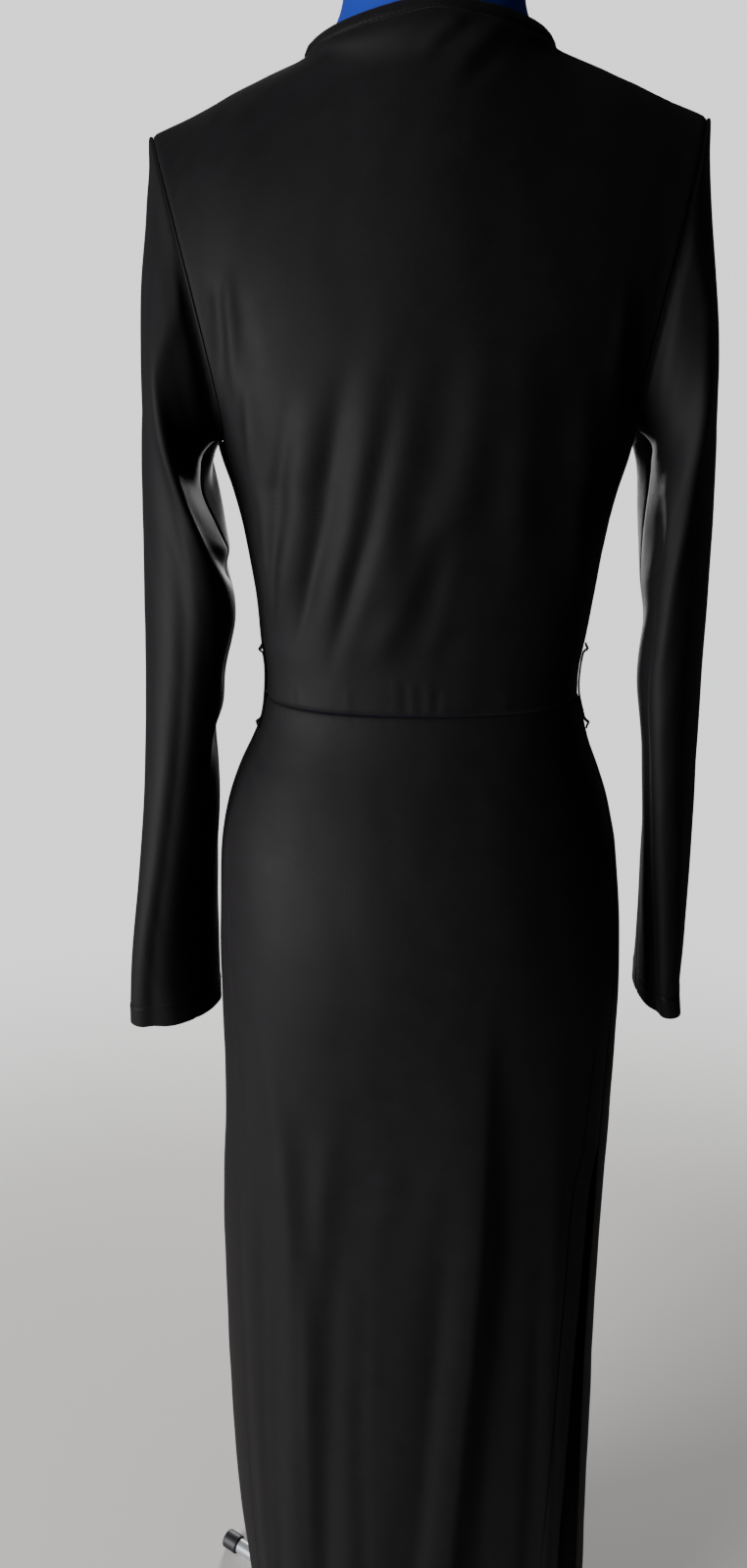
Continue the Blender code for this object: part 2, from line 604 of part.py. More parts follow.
def armhole(left):
    """The armhole's edge, from the underarm up the back to the shoulder and down the front: its points, the
    outward directions there and the ways off the panels."""
    side_back = HAIR if left else 180.0 - HAIR
    loop = [(side_back, 0.0)] + [(side_back, rise) for rise in BODICE_RISES]
    loop += [(-side_back, rise) for rise in reversed(BODICE_RISES[:-1])]
    points, normals = [], []
    for angle, rise in loop:
        point, normal = cloth(angle, rise)
        points.append(point)
        normals.append(normal)
    aways = []
    count = len(points)
    for i in range(count):
        along = (points[(i + 1) % count] - points[i - 1]).normalized()
        away = along.cross(normals[i]).normalized()
        aways.append(-away if left else away)
    return loop, points, normals, aways


def sleeve_ring(stations, at, around, side):
    """A point on an oval whose long way is turned from the Y axis, its back end outward for a positive turn."""
    height, tilt, mid_x, mid_y, long, short, turn = between(stations, at)
    c, s = math.cos(around), math.sin(around)
    turn = math.radians(turn)
    along, across = long * s, short * c
    x = mid_x + across * math.cos(turn) + along * math.sin(turn)
    y = mid_y + along * math.cos(turn) - across * math.sin(turn)
    return Vector((side * x, y, height + tilt * c))


def make_sleeve(name, left, rows):
    side = 1.0 if left else -1.0
    stations = [(i / (len(rows) - 1.0),) + tuple(row) for i, row in enumerate(rows)]
    loop, points, normals, aways = armhole(left)
    turns = []
    for angle, rise in loop:
        around = math.pi * (1.0 - rise)
        turns.append(around if angle > 0.0 else -around)
    outer = [[p + a * ARMHOLE_SEAM for p, a in zip(points, aways)]]
    inner = [[q - n * CLOTH for q, n in zip(outer[0], normals)]]
    start = [lean(sleeve_ring(stations, 0.0, t, side)) for t in turns]
    for step in SLEEVE_STEPS:
        keep = 1.0 - smooth(step / ARMHOLE_REACH)
        ring = []
        for i, t in enumerate(turns):
            point = lean(sleeve_ring(stations, step, t, side)) + (points[i] - start[i]) * keep
            point.x += side * UNDERARM_EASE * keep * (0.5 - 0.5 * math.cos(t)) ** 2
            ring.append(point)
        if step == SLEEVE_STEPS[0]:
            ring = []
            for point, t in zip(points, turns):
                out = CAP_OUT + CAP_OUT_MORE * math.cos(t)
                down = CAP_DOWN * (1.0 + math.cos(t))
                ring.append(point + Vector((side * out, 0.0, -down)))
        outer.append(ring)
    count = len(turns)
    for r in range(1, len(outer)):
        ring = outer[r]
        row = []
        for i, point in enumerate(ring):
            around = ring[(i + 1) % count] - ring[i - 1]
            down = outer[min(r + 1, len(outer) - 1)][i] - outer[r - 1][i]
            normal = around.cross(down).normalized() * side
            row.append(point - normal * CLOTH)
        inner.append(row)
    wall(name, outer, inner, True, BLACK_JERSEY)


def make_binding():
    """One strip up the over wrap's edge, round the back neck and down the under wrap's edge."""
    path = []
    rises = rises_of(BODICE_LEVELS, BODICE_RISES)
    for rise in rises[:-1]:
        path.append((-90.0 + wrap_edge(rise), rise, 0.0))
    corner = 90.0 * (1.0 - NECK_SHARE)
    for i in range(NECK_STEPS + 1):
        angle = 180.0 - corner - (180.0 - 2.0 * corner) * i / NECK_STEPS
        path.append((angle, 1.0, 0.0))
    for rise in reversed(rises[:-1]):
        path.append((-90.0 - wrap_edge(rise), rise, 1.0))
    points, normals = [], []
    for angle, rise, under in path:
        inside = under_over(angle, rise) if under else 0.0
        point, normal = cloth(angle, rise, inside)
        points.append(point)
        normals.append(normal)
    points[0].z += SEAM / 2.0
    points[-1].z += SEAM / 2.0
    outer, inner = [], []
    last = len(points) - 1
    for i, (point, normal) in enumerate(zip(points, normals)):
        along = (points[min(i + 1, last)] - points[max(i - 1, 0)]).normalized()
        away = along.cross(normal).normalized()
        if i == 0 or i == last:
            away.z = 0.0
            away.normalize()
            normal = Vector((normal.x, normal.y, 0.0)).normalized()
        row_out, row_in = [], []
        for across, lift, depth in BINDING_SECTION:
            place = point + away * (SEAM + BINDING_WIDTH * across)
            row_out.append(place + normal * BINDING_PROUD * lift)
            row_in.append(place - normal * (BINDING_THICK - BINDING_PROUD) * depth)
        outer.append(row_out)
        inner.append(row_in)
    wall("neck_binding", outer, inner, False, BLACK_BINDING)


def make_loop(name, left):
    """A narrow belt carrier that lies along the side seam over the waist."""
    outer, inner = [], []
    for height, off, thick in LOOP_ROWS:
        angle = side_angle(height, left)
        half = degrees_for(angle, height - UNDERARM, LOOP_WIDTH / 2.0)
        row_out, row_in = [], []
        for turn in (angle - half, angle, angle + half):
            point = base(turn, height - UNDERARM)
            normal = facing_of(turn, height - UNDERARM)
            row_in.append(point + normal * off)
            row_out.append(point + normal * (off + thick))
        outer.append(row_out)
        inner.append(row_in)
    wall(name, outer, inner, False, BLACK_JERSEY)


def form_point(share, behind, rise):
    angle = 90.0 * (1.0 - share)
    if not behind:
        angle = -angle
    point = base(angle, rise)
    normal = normal_of(angle, rise)
    inset = FORM_INSET + FRONT_INSET * smooth((-point.y - 0.03) / 0.03)
    on_shoulder = smooth((rise - 0.80) / 0.20) * smooth((abs(share) - REST_FROM) / 0.06)
    on_shoulder *= 1.0 - smooth((abs(share) - REST_TO) / 0.10)
    inset += (SHOULDER_INSET - inset) * on_shoulder
    return point + normal * (bust(point) - inset)


def make_form():
    bm = bmesh.new()
    reach = FORM_SHARE
    shares = [-reach + (reach - NECK_SHARE) * i / 3.0 for i in range(3)]
    shares += [-NECK_SHARE + 2.0 * NECK_SHARE * i / 8.0 for i in range(9)]
    shares += [NECK_SHARE + (reach - NECK_SHARE) * (i + 1) / 3.0 for i in range(3)]
    last = len(shares) - 1
    rings = []
    for level in FORM_LEVELS:
        ring = []
        for behind in (True, False):
            order = shares if behind else list(reversed(shares))
            ring.append(form_point(-1.0 if behind else 1.0, behind, level - UNDERARM))
            ring += [form_point(s, behind, level - UNDERARM) for s in order]
        if level == FORM_BOTTOM:
            ring = [Vector((p.x * FORM_FOOT, p.y * FORM_FOOT, p.z)) for p in ring]
        rings.append([bm.verts.new(p) for p in ring])
    count = len(rings[0])
    for a, b in zip(rings, rings[1:]):
        for i in range(count):
            j = (i + 1) % count
            bm.faces.new((a[i], a[j], b[j], b[i]))
    foot = bm.verts.new((0.0, 0.0, FORM_BOTTOM))
    for i in range(count):
        bm.faces.new((rings[0][i], rings[0][(i + 1) % count], foot))

    top = rings[-1]
    back = [top[1 + i] for i in range(last + 1)]
    front = [top[2 + last + 1 + last - i] for i in range(last + 1)]
    side_right, side_left = top[0], top[last + 2]
    columns_back, columns_front = [back], [front]
    for rise in BODICE_RISES[1:]:
        row_back = [bm.verts.new(form_point(s, True, rise)) for s in shares]
        row_front = []
        for i, s in enumerate(shares):
            if rise == 1.0 and abs(s) >= NECK_SHARE - 1e-6:
                row_front.append(row_back[i])
            else:
                row_front.append(bm.verts.new(form_point(s, False, rise)))
        columns_back.append(row_back)
        columns_front.append(row_front)
    for grid in (columns_back, columns_front):
        for low, high in zip(grid, grid[1:]):
            for i in range(last):
                bm.faces.new((low[i], low[i + 1], high[i + 1], high[i]))
    for i, side in ((0, side_right), (last, side_left)):
        loop = [side] + [row[i] for row in columns_back]
        loop += [row[i] for row in reversed(columns_front[:-1])]
        middle = sum((v.co for v in loop), Vector()) / len(loop)
        middle.x += ARM_PLATE_DOME if i else -ARM_PLATE_DOME
        hub = bm.verts.new(middle)
        for k in range(len(loop)):
            bm.faces.new((loop[k], loop[(k + 1) % len(loop)], hub))
    neck = [i for i, s in enumerate(shares) if abs(s) <= NECK_SHARE + 1e-6]
    loop = [columns_back[-1][i] for i in neck] + [columns_front[-1][i] for i in reversed(neck[1:-1])]
    for height, half_x, half_y in FORM_NECK:
        ring = []
        for i in range(len(loop)):
            turn = math.pi - 2.0 * math.pi * i / len(loop)
            ring.append(bm.verts.new((half_x * math.cos(turn), half_y * math.sin(turn) + NECK_BACK, height)))
        for i in range(len(loop)):
            j = (i + 1) % len(loop)
            bm.faces.new((loop[i], loop[j], ring[j], ring[i]))
        loop = ring
    bm.faces.new(loop)
    finish("form_torso", bm, BLUE_COVER)


def cylinder(name, radius, length, sides, place, turn, stuff):
    """A round bar. A turn lays it along the floor, pointing away from the upright."""
    bpy.ops.mesh.primitive_cylinder_add(vertices=sides, radius=radius, depth=length, location=place)
    bar = bpy.context.active_object
    if turn is not None:
        bar.rotation_euler = (math.pi / 2.0, 0.0, turn + math.pi / 2.0)
    return dress_up(bar, name, stuff)


def make_stand():
    pole = FORM_BOTTOM - HUB_HEIGHT - 2.0 * SEAM
    middle = (0.0, 0.0, HUB_HEIGHT + SEAM + pole / 2.0)
    cylinder("stand_pole", POLE_RADIUS, pole, 20, middle, None, GREY_METAL)

    profile = bpy.data.meshes.new("hub profile")
    edges = [(k, k + 1) for k in range(len(HUB_OUTLINE) - 1)]
    profile.from_pydata([(x, 0.0, z) for x, z in HUB_OUTLINE], edges, [])
    hub = bpy.data.objects.new("stand_hub", profile)
    screw = hub.modifiers.new("turned", 'SCREW')
    screw.steps = screw.render_steps = 20
    screw.use_merge_vertices = True
    screw.merge_threshold = 0.00005
    dress_up(hub, "stand_hub", BLACK_PLASTIC)

    near, far = HUB_RADIUS + SEAM, LEG_REACH - CAP_LENGTH
    for i in range(4):
        turn = math.radians(LEG_TURN + 90.0 * i)
        for name, radius, start, end, stuff in (("leg_%d", LEG_RADIUS, near, far - SEAM, GREY_METAL),
                                                ("leg_cap_%d", CAP_RADIUS, far, LEG_REACH, BLACK_PLASTIC)):
            middle = (start + end) / 2.0
            place = (math.cos(turn) * middle, math.sin(turn) * middle, LEG_HEIGHT)
            bar = cylinder(name % (i + 1), radius, end - start, 16, place, turn, stuff)
            if radius == CAP_RADIUS:
                bevel = bar.modifiers.new("rounded rim", 'BEVEL')
                bevel.width = CAP_ROUNDING
                bevel.segments = 1


make_bodice()
make_sleeve("sleeve_left", True, SLEEVE_LEFT)
make_sleeve("sleeve_right", False, SLEEVE_RIGHT)
make_skirt()
make_binding()
make_loop("belt_loop_left", True)
make_loop("belt_loop_right", False)
make_form()
make_stand()
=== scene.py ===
import math
import bpy
import bmesh
import numpy as np
from collections import namedtuple
from mathutils import Matrix, Vector


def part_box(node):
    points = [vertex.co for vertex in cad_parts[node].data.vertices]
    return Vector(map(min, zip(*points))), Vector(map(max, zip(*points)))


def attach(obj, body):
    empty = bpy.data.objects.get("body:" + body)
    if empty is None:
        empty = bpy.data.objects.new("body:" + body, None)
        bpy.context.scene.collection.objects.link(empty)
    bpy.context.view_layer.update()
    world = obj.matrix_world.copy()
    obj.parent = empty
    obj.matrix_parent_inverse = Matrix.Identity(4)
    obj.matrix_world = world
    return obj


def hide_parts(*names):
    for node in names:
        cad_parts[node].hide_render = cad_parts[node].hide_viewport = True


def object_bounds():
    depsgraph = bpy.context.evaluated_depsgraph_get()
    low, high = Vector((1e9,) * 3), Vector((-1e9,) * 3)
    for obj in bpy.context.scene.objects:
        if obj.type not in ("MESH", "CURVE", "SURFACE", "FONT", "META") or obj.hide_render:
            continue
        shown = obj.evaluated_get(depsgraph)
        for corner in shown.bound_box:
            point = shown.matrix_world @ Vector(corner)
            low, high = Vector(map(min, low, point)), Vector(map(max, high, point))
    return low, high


bl_info = {
    "name": "Wrap Dress on a Dress Form",
    "version": (1, 0, 0),
    "blender": (4, 5, 0),
    "location": "3D View > Sidebar > Wrap Dress",
    "description": "Long black jersey wrap dress resting on a dress form with a tube stand",
    "category": "Add Mesh",
}

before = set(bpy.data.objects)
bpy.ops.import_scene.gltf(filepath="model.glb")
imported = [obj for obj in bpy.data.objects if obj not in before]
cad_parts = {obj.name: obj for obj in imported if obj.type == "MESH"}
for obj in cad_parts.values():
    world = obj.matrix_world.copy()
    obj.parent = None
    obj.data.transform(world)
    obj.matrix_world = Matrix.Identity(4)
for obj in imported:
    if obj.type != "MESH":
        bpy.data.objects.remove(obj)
CAD_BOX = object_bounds()
FLOOR = CAD_BOX[0].z
HUB_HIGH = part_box("stand_hub")[1]
POLE_LOW, POLE_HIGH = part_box("stand_pole")

# Metres; the wearer's left is +X and the back of the dress is toward +Y. Angles are in degrees about the z axis:
# 0 at the wearer's left, 90 at the middle of the back, 180 at the right and -90 at the middle of the front.
ONE_TURN = 6.283             # radians in one wave
SEAM = 0.0003                # gap between two pieces at a seam
SIDE_LAP = 0.0003            # how far the cloth's edges press into each other at the side seams, so none gapes
HAIR = 0.02                  # degrees off the side by which the back is told from the front
LAYER = 0.0042               # how far the under wrap lies inside the over wrap
WAIST = 1.027                # height of the waist seam
UNDERARM = 1.2085            # height of the ring where the armholes begin
DROP, DROP_SHARE, DROP_FROM = 0.028, 0.30, 1.090    # how that ring drops away from the side, under the armhole
FULLER = 0.05                # how much fuller a ring is between its sides and its middles
HEM = 0.040
SLIT_TOP = 0.677             # top of the slit in the wearer's right side seam
NECK_SHARE = 0.44            # share of the shoulder's width at which the neck edge begins
NECK = (0.080, -0.008, 1.4420)                      # where the shoulder seam meets the neck edge
TIP = (0.179, 0.000, 1.4010)                        # where it meets the armhole
NAPE_Y, NAPE_Z = 0.056, 1.453
THROAT_Y, THROAT_Z = -0.058, 1.402
LEAN, SHIFT = -0.030, 0.002  # the wearer's right shoulder stands a little higher than the left
LEAN_FROM, LEAN_OVER = 1.06, 0.24
ARMHOLE_GAP = 0.0005
NECK_PAST_MIDDLE = -39.6     # degrees past the middle of the front at which a wrap's edge meets the shoulder seam
WRAP_MARGIN, WRAP_FADE = 9.0, 16.0                  # degrees over which the under wrap comes out to the surface
PANEL_CROWD, SLEEVE_CROWD = 0.55, 0.5               # how close the grid's lines crowd at a piece's edges
BINDING_THICK, CARRIER_THICK = 0.0018, 0.0010
FOLD_GROWS, FOLD_FADES = 0.45, 0.35                 # shares of a fold's length over which it grows and fades
SLEEVE_RADIUS = 0.042        # mean radius of a sleeve, which turns degrees round it into metres

# A seam: how deep its groove is and how high the puckers beside it stand.
Groove = namedtuple("Groove", "depth pucker")
WAIST_SEAM = Groove(0.0009, 0.00012)
SIDE_SEAM = Groove(0.0008, 0.00010)
SHOULDER_SEAM = Groove(0.0007, 0.00008)
SLEEVE_HEAD_SEAM = Groove(0.0004, 0.00016)
DOUBLED, DENT = 0.00035, 0.00065                    # how far a turned edge stands out, and its stitching sinks in
FIRST_ROW, SECOND_ROW = 0.001, 0.0030               # stitching: in from the turned edge, and between the two rows

# The cloth on its form: height, half width to the left and to the right, depth behind and before the side.
SECTIONS = (
    (0.0400, 0.1490, 0.1665, 0.1230, 0.1210), (0.1340, 0.1543, 0.1656, 0.1205, 0.1180),
    (0.2600, 0.1634, 0.1623, 0.1170, 0.1140), (0.3790, 0.1664, 0.1600, 0.1140, 0.1110),
    (0.4630, 0.1667, 0.1578, 0.1120, 0.1090), (0.5940, 0.1650, 0.1576, 0.1110, 0.1060),
    (0.6920, 0.1608, 0.1580, 0.1140, 0.1060), (0.7840, 0.1598, 0.1577, 0.1200, 0.1085),
    (0.8280, 0.1592, 0.1558, 0.1225, 0.1100), (0.8710, 0.1571, 0.1522, 0.1215, 0.1105),
    (0.9120, 0.1546, 0.1472, 0.1155, 0.1095), (0.9320, 0.1515, 0.1429, 0.1100, 0.1080),
    (0.9520, 0.1462, 0.1378, 0.1030, 0.1055), (0.9720, 0.1387, 0.1306, 0.0950, 0.1025),
    (0.9910, 0.1291, 0.1235, 0.0875, 0.0990), (1.0110, 0.1212, 0.1180, 0.0810, 0.0970),
    (1.0290, 0.1184, 0.1135, 0.0780, 0.0960), (1.0480, 0.1180, 0.1135, 0.0785, 0.0970),
    (1.0670, 0.1205, 0.1163, 0.0805, 0.0990), (1.1030, 0.1230, 0.1212, 0.0855, 0.1040),
    (1.1380, 0.1284, 0.1262, 0.0905, 0.1090), (1.1720, 0.1344, 0.1335, 0.0950, 0.1125),
    (1.2085, 0.1460, 0.1465, 0.1000, 0.1150),
)
# Above the underarm: share from the middle, and two guide points on the way up to the shoulder or the neck.
BACK_COLUMNS = (
    (0.00, 0.000, 0.107, 1.290, 0.000, 0.088, 1.395), (0.44, 0.098, 0.100, 1.285, 0.083, 0.060, 1.433),
    (0.72, 0.124, 0.095, 1.262, 0.131, 0.058, 1.413), (1.00, 0.120, 0.075, 1.195, 0.158, 0.078, 1.338),
)
FRONT_COLUMNS = (
    (0.00, 0.000, 0.116, 1.270, 0.000, 0.088, 1.362), (0.44, 0.097, 0.115, 1.275, 0.083, 0.060, 1.431),
    (0.72, 0.118, 0.100, 1.255, 0.131, 0.056, 1.409), (1.00, 0.116, 0.080, 1.193, 0.158, 0.070, 1.338),
)
# Height, and degrees from the side toward the back, on the left and on the right.
SIDE_SEAMS = (
    (0.0400, 32.0, 31.0), (0.6770, 31.0, 31.0), (0.8000, 29.0, 28.0), (0.9000, 24.0, 22.0), (0.9800, 14.0, 14.0),
    (1.0270, 10.0, 10.0), (1.0600, 15.0, 12.0), (1.1100, 24.0, 15.0), (1.1650, 22.0, 13.0), (1.2085, 0.0, 0.0),
)
# Height, and degrees from the right side toward the back, to the back panel's and the front panel's slit edges.
SLIT = (
    (0.0400, 45.0, 29.0), (0.2400, 43.0, 29.5), (0.3900, 40.0, 30.0), (0.5300, 37.0, 30.0),
    (0.6200, 36.0, 30.0), (0.6500, 34.5, 30.5), (0.6770, 31.0, 31.0),
)
# Height, and degrees past the middle of the front at which a wrap's edge lies.
SKIRT_WRAP = ((0.04, 62.0), (0.45, 59.0), (0.80, 57.0), (1.027, 55.0))
BODICE_WRAP = ((1.027, 55.0), (1.10, 33.0), (1.2085, 8.0))

# Folds through three heights: each height with its angle, then how high the fold stands and its two widths.
Fold = namedtuple("Fold", "top top_angle middle middle_angle bottom bottom_angle lift left_width right_width")
SKIRT_FOLDS = (
    Fold(0.80, 35.5, 0.67, 36.8, 0.52, 38.0, 0.0030, 0.011, 0.012),
    Fold(0.84, 42.0, 0.59, 54.0, 0.30, 53.0, 0.0065, 0.014, 0.013),
    Fold(0.76, 64.5, 0.65, 63.2, 0.46, 60.5, 0.0035, 0.010, 0.010),
    Fold(0.72, 71.5, 0.52, 70.2, 0.20, 66.5, 0.0040, 0.011, 0.012),
    Fold(0.79, 83.0, 0.52, 77.8, 0.20, 71.5, 0.0050, 0.012, 0.013),
    Fold(0.76, 92.5, 0.55, 87.0, 0.30, 80.5, 0.0045, 0.012, 0.012),
    Fold(0.86, 105.0, 0.60, 104.5, 0.28, 97.8, 0.0130, 0.026, 0.009),
    Fold(0.78, 119.0, 0.55, 119.5, 0.25, 117.0, 0.0035, 0.012, 0.014),
    Fold(0.80, 126.5, 0.55, 129.2, 0.25, 130.6, 0.0050, 0.012, 0.012),
    Fold(0.74, 2.0, 0.50, 4.0, 0.25, 5.0, 0.0020, 0.014, 0.014),
    Fold(0.80, -22.0, 0.55, -24.0, 0.22, -27.0, 0.0045, 0.015, 0.016),
    Fold(0.74, -48.0, 0.50, -50.0, 0.22, -53.0, 0.0040, 0.016, 0.017),
    Fold(0.82, -70.0, 0.55, -73.0, 0.22, -78.0, 0.0050, 0.018, 0.016),
    Fold(0.76, -98.0, 0.52, -100.0, 0.20, -104.0, 0.0045, 0.016, 0.017),
    Fold(0.82, -123.0, 0.55, -126.0, 0.22, -130.0, 0.0052, 0.017, 0.018),
    Fold(0.76, -150.0, 0.50, -152.0, 0.22, -155.0, 0.0040, 0.016, 0.016),
)
FINE_SKIRT_FOLDS = (
    Fold(0.70, 48.0, 0.45, 45.5, 0.15, 44.0, 0.0014, 0.006, 0.008),
    Fold(0.66, 58.5, 0.50, 58.8, 0.28, 59.5, 0.0012, 0.005, 0.006),
    Fold(0.60, 75.0, 0.42, 73.5, 0.24, 74.5, -0.0016, 0.006, 0.006),
    Fold(0.68, 97.0, 0.48, 93.5, 0.22, 88.0, -0.0022, 0.006, 0.007),
    Fold(0.80, 113.5, 0.60, 113.0, 0.30, 107.5, -0.0012, 0.008, 0.012),
    Fold(0.52, 112.0, 0.38, 112.5, 0.20, 111.5, 0.0012, 0.006, 0.007),
    Fold(0.64, 124.0, 0.44, 124.5, 0.24, 124.0, -0.0014, 0.006, 0.006),
    Fold(0.66, -36.0, 0.44, -37.0, 0.20, -39.0, 0.0016, 0.007, 0.008),
    Fold(0.70, -60.0, 0.46, -62.0, 0.20, -65.0, -0.0018, 0.008, 0.007),
    Fold(0.62, -86.0, 0.42, -89.0, 0.18, -92.0, 0.0016, 0.008, 0.007),
    Fold(0.70, -111.0, 0.46, -113.0, 0.20, -116.0, -0.0018, 0.008, 0.008),
    Fold(0.60, -138.0, 0.40, -139.0, 0.18, -141.0, 0.0016, 0.007, 0.008),
    Fold(0.66, -165.0, 0.44, -166.0, 0.20, -168.0, 0.0014, 0.008, 0.007),
)
BODICE_FOLDS = (
    Fold(1.27, 33.0, 1.20, 34.0, 1.13, 33.0, 0.0030, 0.010, 0.012),
    Fold(1.22, 42.0, 1.15, 37.0, 1.08, 28.0, 0.0030, 0.009, 0.011),
    Fold(1.26, 60.0, 1.14, 46.5, 1.06, 30.0, 0.0042, 0.010, 0.012),
    Fold(1.29, 77.5, 1.16, 67.5, 1.06, 51.5, 0.0045, 0.010, 0.012),
    Fold(1.28, 88.0, 1.15, 76.5, 1.05, 60.0, 0.0042, 0.010, 0.012),
    Fold(1.17, 85.0, 1.10, 78.5, 1.05, 71.5, 0.0030, 0.009, 0.010),
    Fold(1.29, 103.0, 1.21, 101.0, 1.12, 91.0, 0.0036, 0.011, 0.013),
    Fold(1.30, 113.0, 1.20, 114.0, 1.11, 116.0, 0.0028, 0.012, 0.014),
    Fold(1.27, 133.0, 1.17, 136.0, 1.09, 142.0, 0.0026, 0.012, 0.014),
    Fold(1.17, -40.0, 1.11, -50.0, 1.06, -58.0, 0.0028, 0.011, 0.012),
    Fold(1.16, -62.0, 1.10, -68.0, 1.05, -72.0, 0.0026, 0.010, 0.011),
    Fold(1.18, -108.0, 1.11, -112.0, 1.05, -116.0, 0.0030, 0.011, 0.012),
    Fold(1.16, -134.0, 1.10, -136.0, 1.05, -137.0, 0.0026, 0.011, 0.012),
)
FINE_BODICE_FOLDS = (
    Fold(1.25, 52.0, 1.15, 41.5, 1.07, 31.0, -0.0016, 0.005, 0.005),
    Fold(1.27, 69.0, 1.15, 57.0, 1.045, 40.0, -0.0026, 0.006, 0.006),
    Fold(1.27, 83.0, 1.16, 72.5, 1.04, 54.5, -0.0028, 0.005, 0.006),
    Fold(1.20, 94.0, 1.12, 85.0, 1.06, 74.0, 0.0010, 0.005, 0.006),
    Fold(1.16, 99.0, 1.10, 94.0, 1.05, 88.0, 0.0010, 0.005, 0.006),
    Fold(1.20, -52.0, 1.13, -60.0, 1.07, -66.0, -0.0014, 0.006, 0.006),
    Fold(1.20, -118.0, 1.13, -122.0, 1.07, -126.0, -0.0014, 0.006, 0.006),
)
# The fullness of the front: x and z of its middles, and how wide and deep it is.
BUST = ((0.081, 1.192), (-0.081, 1.192))
BUST_RADIUS, BUST_DEPTH = 0.041, 0.019

# Short creases of the back bodice: both ends' x and z, how high the crease stands and its width.
Crease = namedtuple("Crease", "x z end_x end_z lift width")
NAPE_CREASES = (
    Crease(-0.014, 1.4470, 0.010, 1.4300, 0.0014, 0.0040),
    Crease(-0.021, 1.4460, 0.004, 1.4240, -0.0011, 0.0035),
    Crease(-0.040, 1.4460, -0.004, 1.4150, 0.0017, 0.0050),
    Crease(-0.046, 1.4420, -0.014, 1.4060, -0.0009, 0.0050),
    Crease(0.128, 1.3050, 0.126, 1.2350, 0.0020, 0.0045),
    Crease(0.137, 1.3000, 0.134, 1.2500, -0.0014, 0.0040),
    Crease(0.118, 1.2900, 0.113, 1.2250, -0.0012, 0.0060),
    Crease(-0.118, 1.3000, -0.112, 1.2350, 0.0014, 0.0060),
    Crease(-0.130, 1.2800, -0.126, 1.2250, -0.0012, 0.0050),
)
WAIST_PUCKERS = (
    Crease(0.0230, 1.0550, 0.0215, 1.0260, 0.0004, 0.0020),
    Crease(0.0165, 1.0480, 0.0160, 1.0260, -0.0003, 0.0018),
    Crease(0.0120, 1.0500, 0.0105, 1.0260, 0.0005, 0.0019),
    Crease(0.0060, 1.0460, 0.0058, 1.0260, -0.0003, 0.0018),
    Crease(0.0005, 1.0530, -0.0005, 1.0260, 0.0004, 0.0021),
    Crease(-0.0055, 1.0450, -0.0052, 1.0260, -0.0003, 0.0018),
    Crease(-0.0105, 1.0480, -0.0110, 1.0260, 0.0003, 0.0020),
    Crease(0.0900, 1.0420, 0.0890, 1.0260, 0.0004, 0.0025),
    Crease(0.0560, 1.0440, 0.0550, 1.0260, 0.0004, 0.0022),
    Crease(-0.0520, 1.0430, -0.0530, 1.0260, 0.0003, 0.0024),
)

# Sleeves from the armhole to the hem: height, how much higher the outer side is, middle x and y, half length,
# half thickness and turn of the ring.
SLEEVE_LEFT = (
    (1.3020, 0.0965, 0.1635, 0.004, 0.0520, 0.0160, 0.0), (1.2830, 0.0880, 0.1665, 0.005, 0.0560, 0.0170, 2.0),
    (1.2520, 0.0760, 0.1720, 0.005, 0.0590, 0.0160, 4.0), (1.2060, 0.0620, 0.1677, 0.006, 0.0615, 0.0219, 5.0),
    (1.1560, 0.0460, 0.1684, 0.006, 0.0570, 0.0287, -5.0), (1.1000, 0.0300, 0.1728, 0.006, 0.0520, 0.0284, -13.0),
    (1.0450, 0.0150, 0.1776, 0.006, 0.0500, 0.0267, -11.0), (0.9850, 0.0020, 0.1815, 0.006, 0.0490, 0.0272, -3.0),
    (0.9150, 0.0000, 0.1867, 0.005, 0.0485, 0.0267, 9.0), (0.8450, 0.0000, 0.1930, 0.004, 0.0480, 0.0253, 22.0),
    (0.7900, 0.0000, 0.1968, 0.003, 0.0445, 0.0250, 34.0), (0.7605, 0.0000, 0.1984, 0.002, 0.0410, 0.0250, 44.0),
)
SLEEVE_RIGHT = (
    (1.3020, 0.0965, 0.1635, 0.004, 0.0520, 0.0160, 0.0), (1.2830, 0.0880, 0.1665, 0.005, 0.0560, 0.0170, 1.0),
    (1.2520, 0.0760, 0.1700, 0.005, 0.0590, 0.0165, 2.0), (1.2060, 0.0620, 0.1726, 0.006, 0.0615, 0.0195, 0.0),
    (1.1560, 0.0460, 0.1766, 0.006, 0.0570, 0.0227, -8.0), (1.1000, 0.0300, 0.1795, 0.006, 0.0525, 0.0228, -16.0),
    (1.0450, 0.0150, 0.1811, 0.006, 0.0505, 0.0215, -20.0), (0.9850, 0.0020, 0.1849, 0.006, 0.0495, 0.0196, -20.0),
    (0.9150, 0.0000, 0.1877, 0.005, 0.0490, 0.0197, -15.0), (0.8450, 0.0000, 0.1899, 0.004, 0.0490, 0.0180, -8.0),
    (0.7980, 0.0000, 0.1901, 0.003, 0.0480, 0.0162, -3.0), (0.7760, 0.0000, 0.1915, 0.002, 0.0462, 0.0158, 1.0),
)
# Rings that are set down the sleeve, and how its head eases into them out of the armhole.
SLEEVE_STEPS = (0.07, 0.13, 0.20, 0.28, 0.37, 0.46, 0.55, 0.64, 0.73, 0.82, 0.91, 1.0)
ARMHOLE_REACH, UNDERARM_EASE = 0.28, 0.012
CAP_STEP, CAP_OUT, CAP_OUT_MORE, CAP_DOWN = 0.025, 0.0038, -0.0016, 0.0008

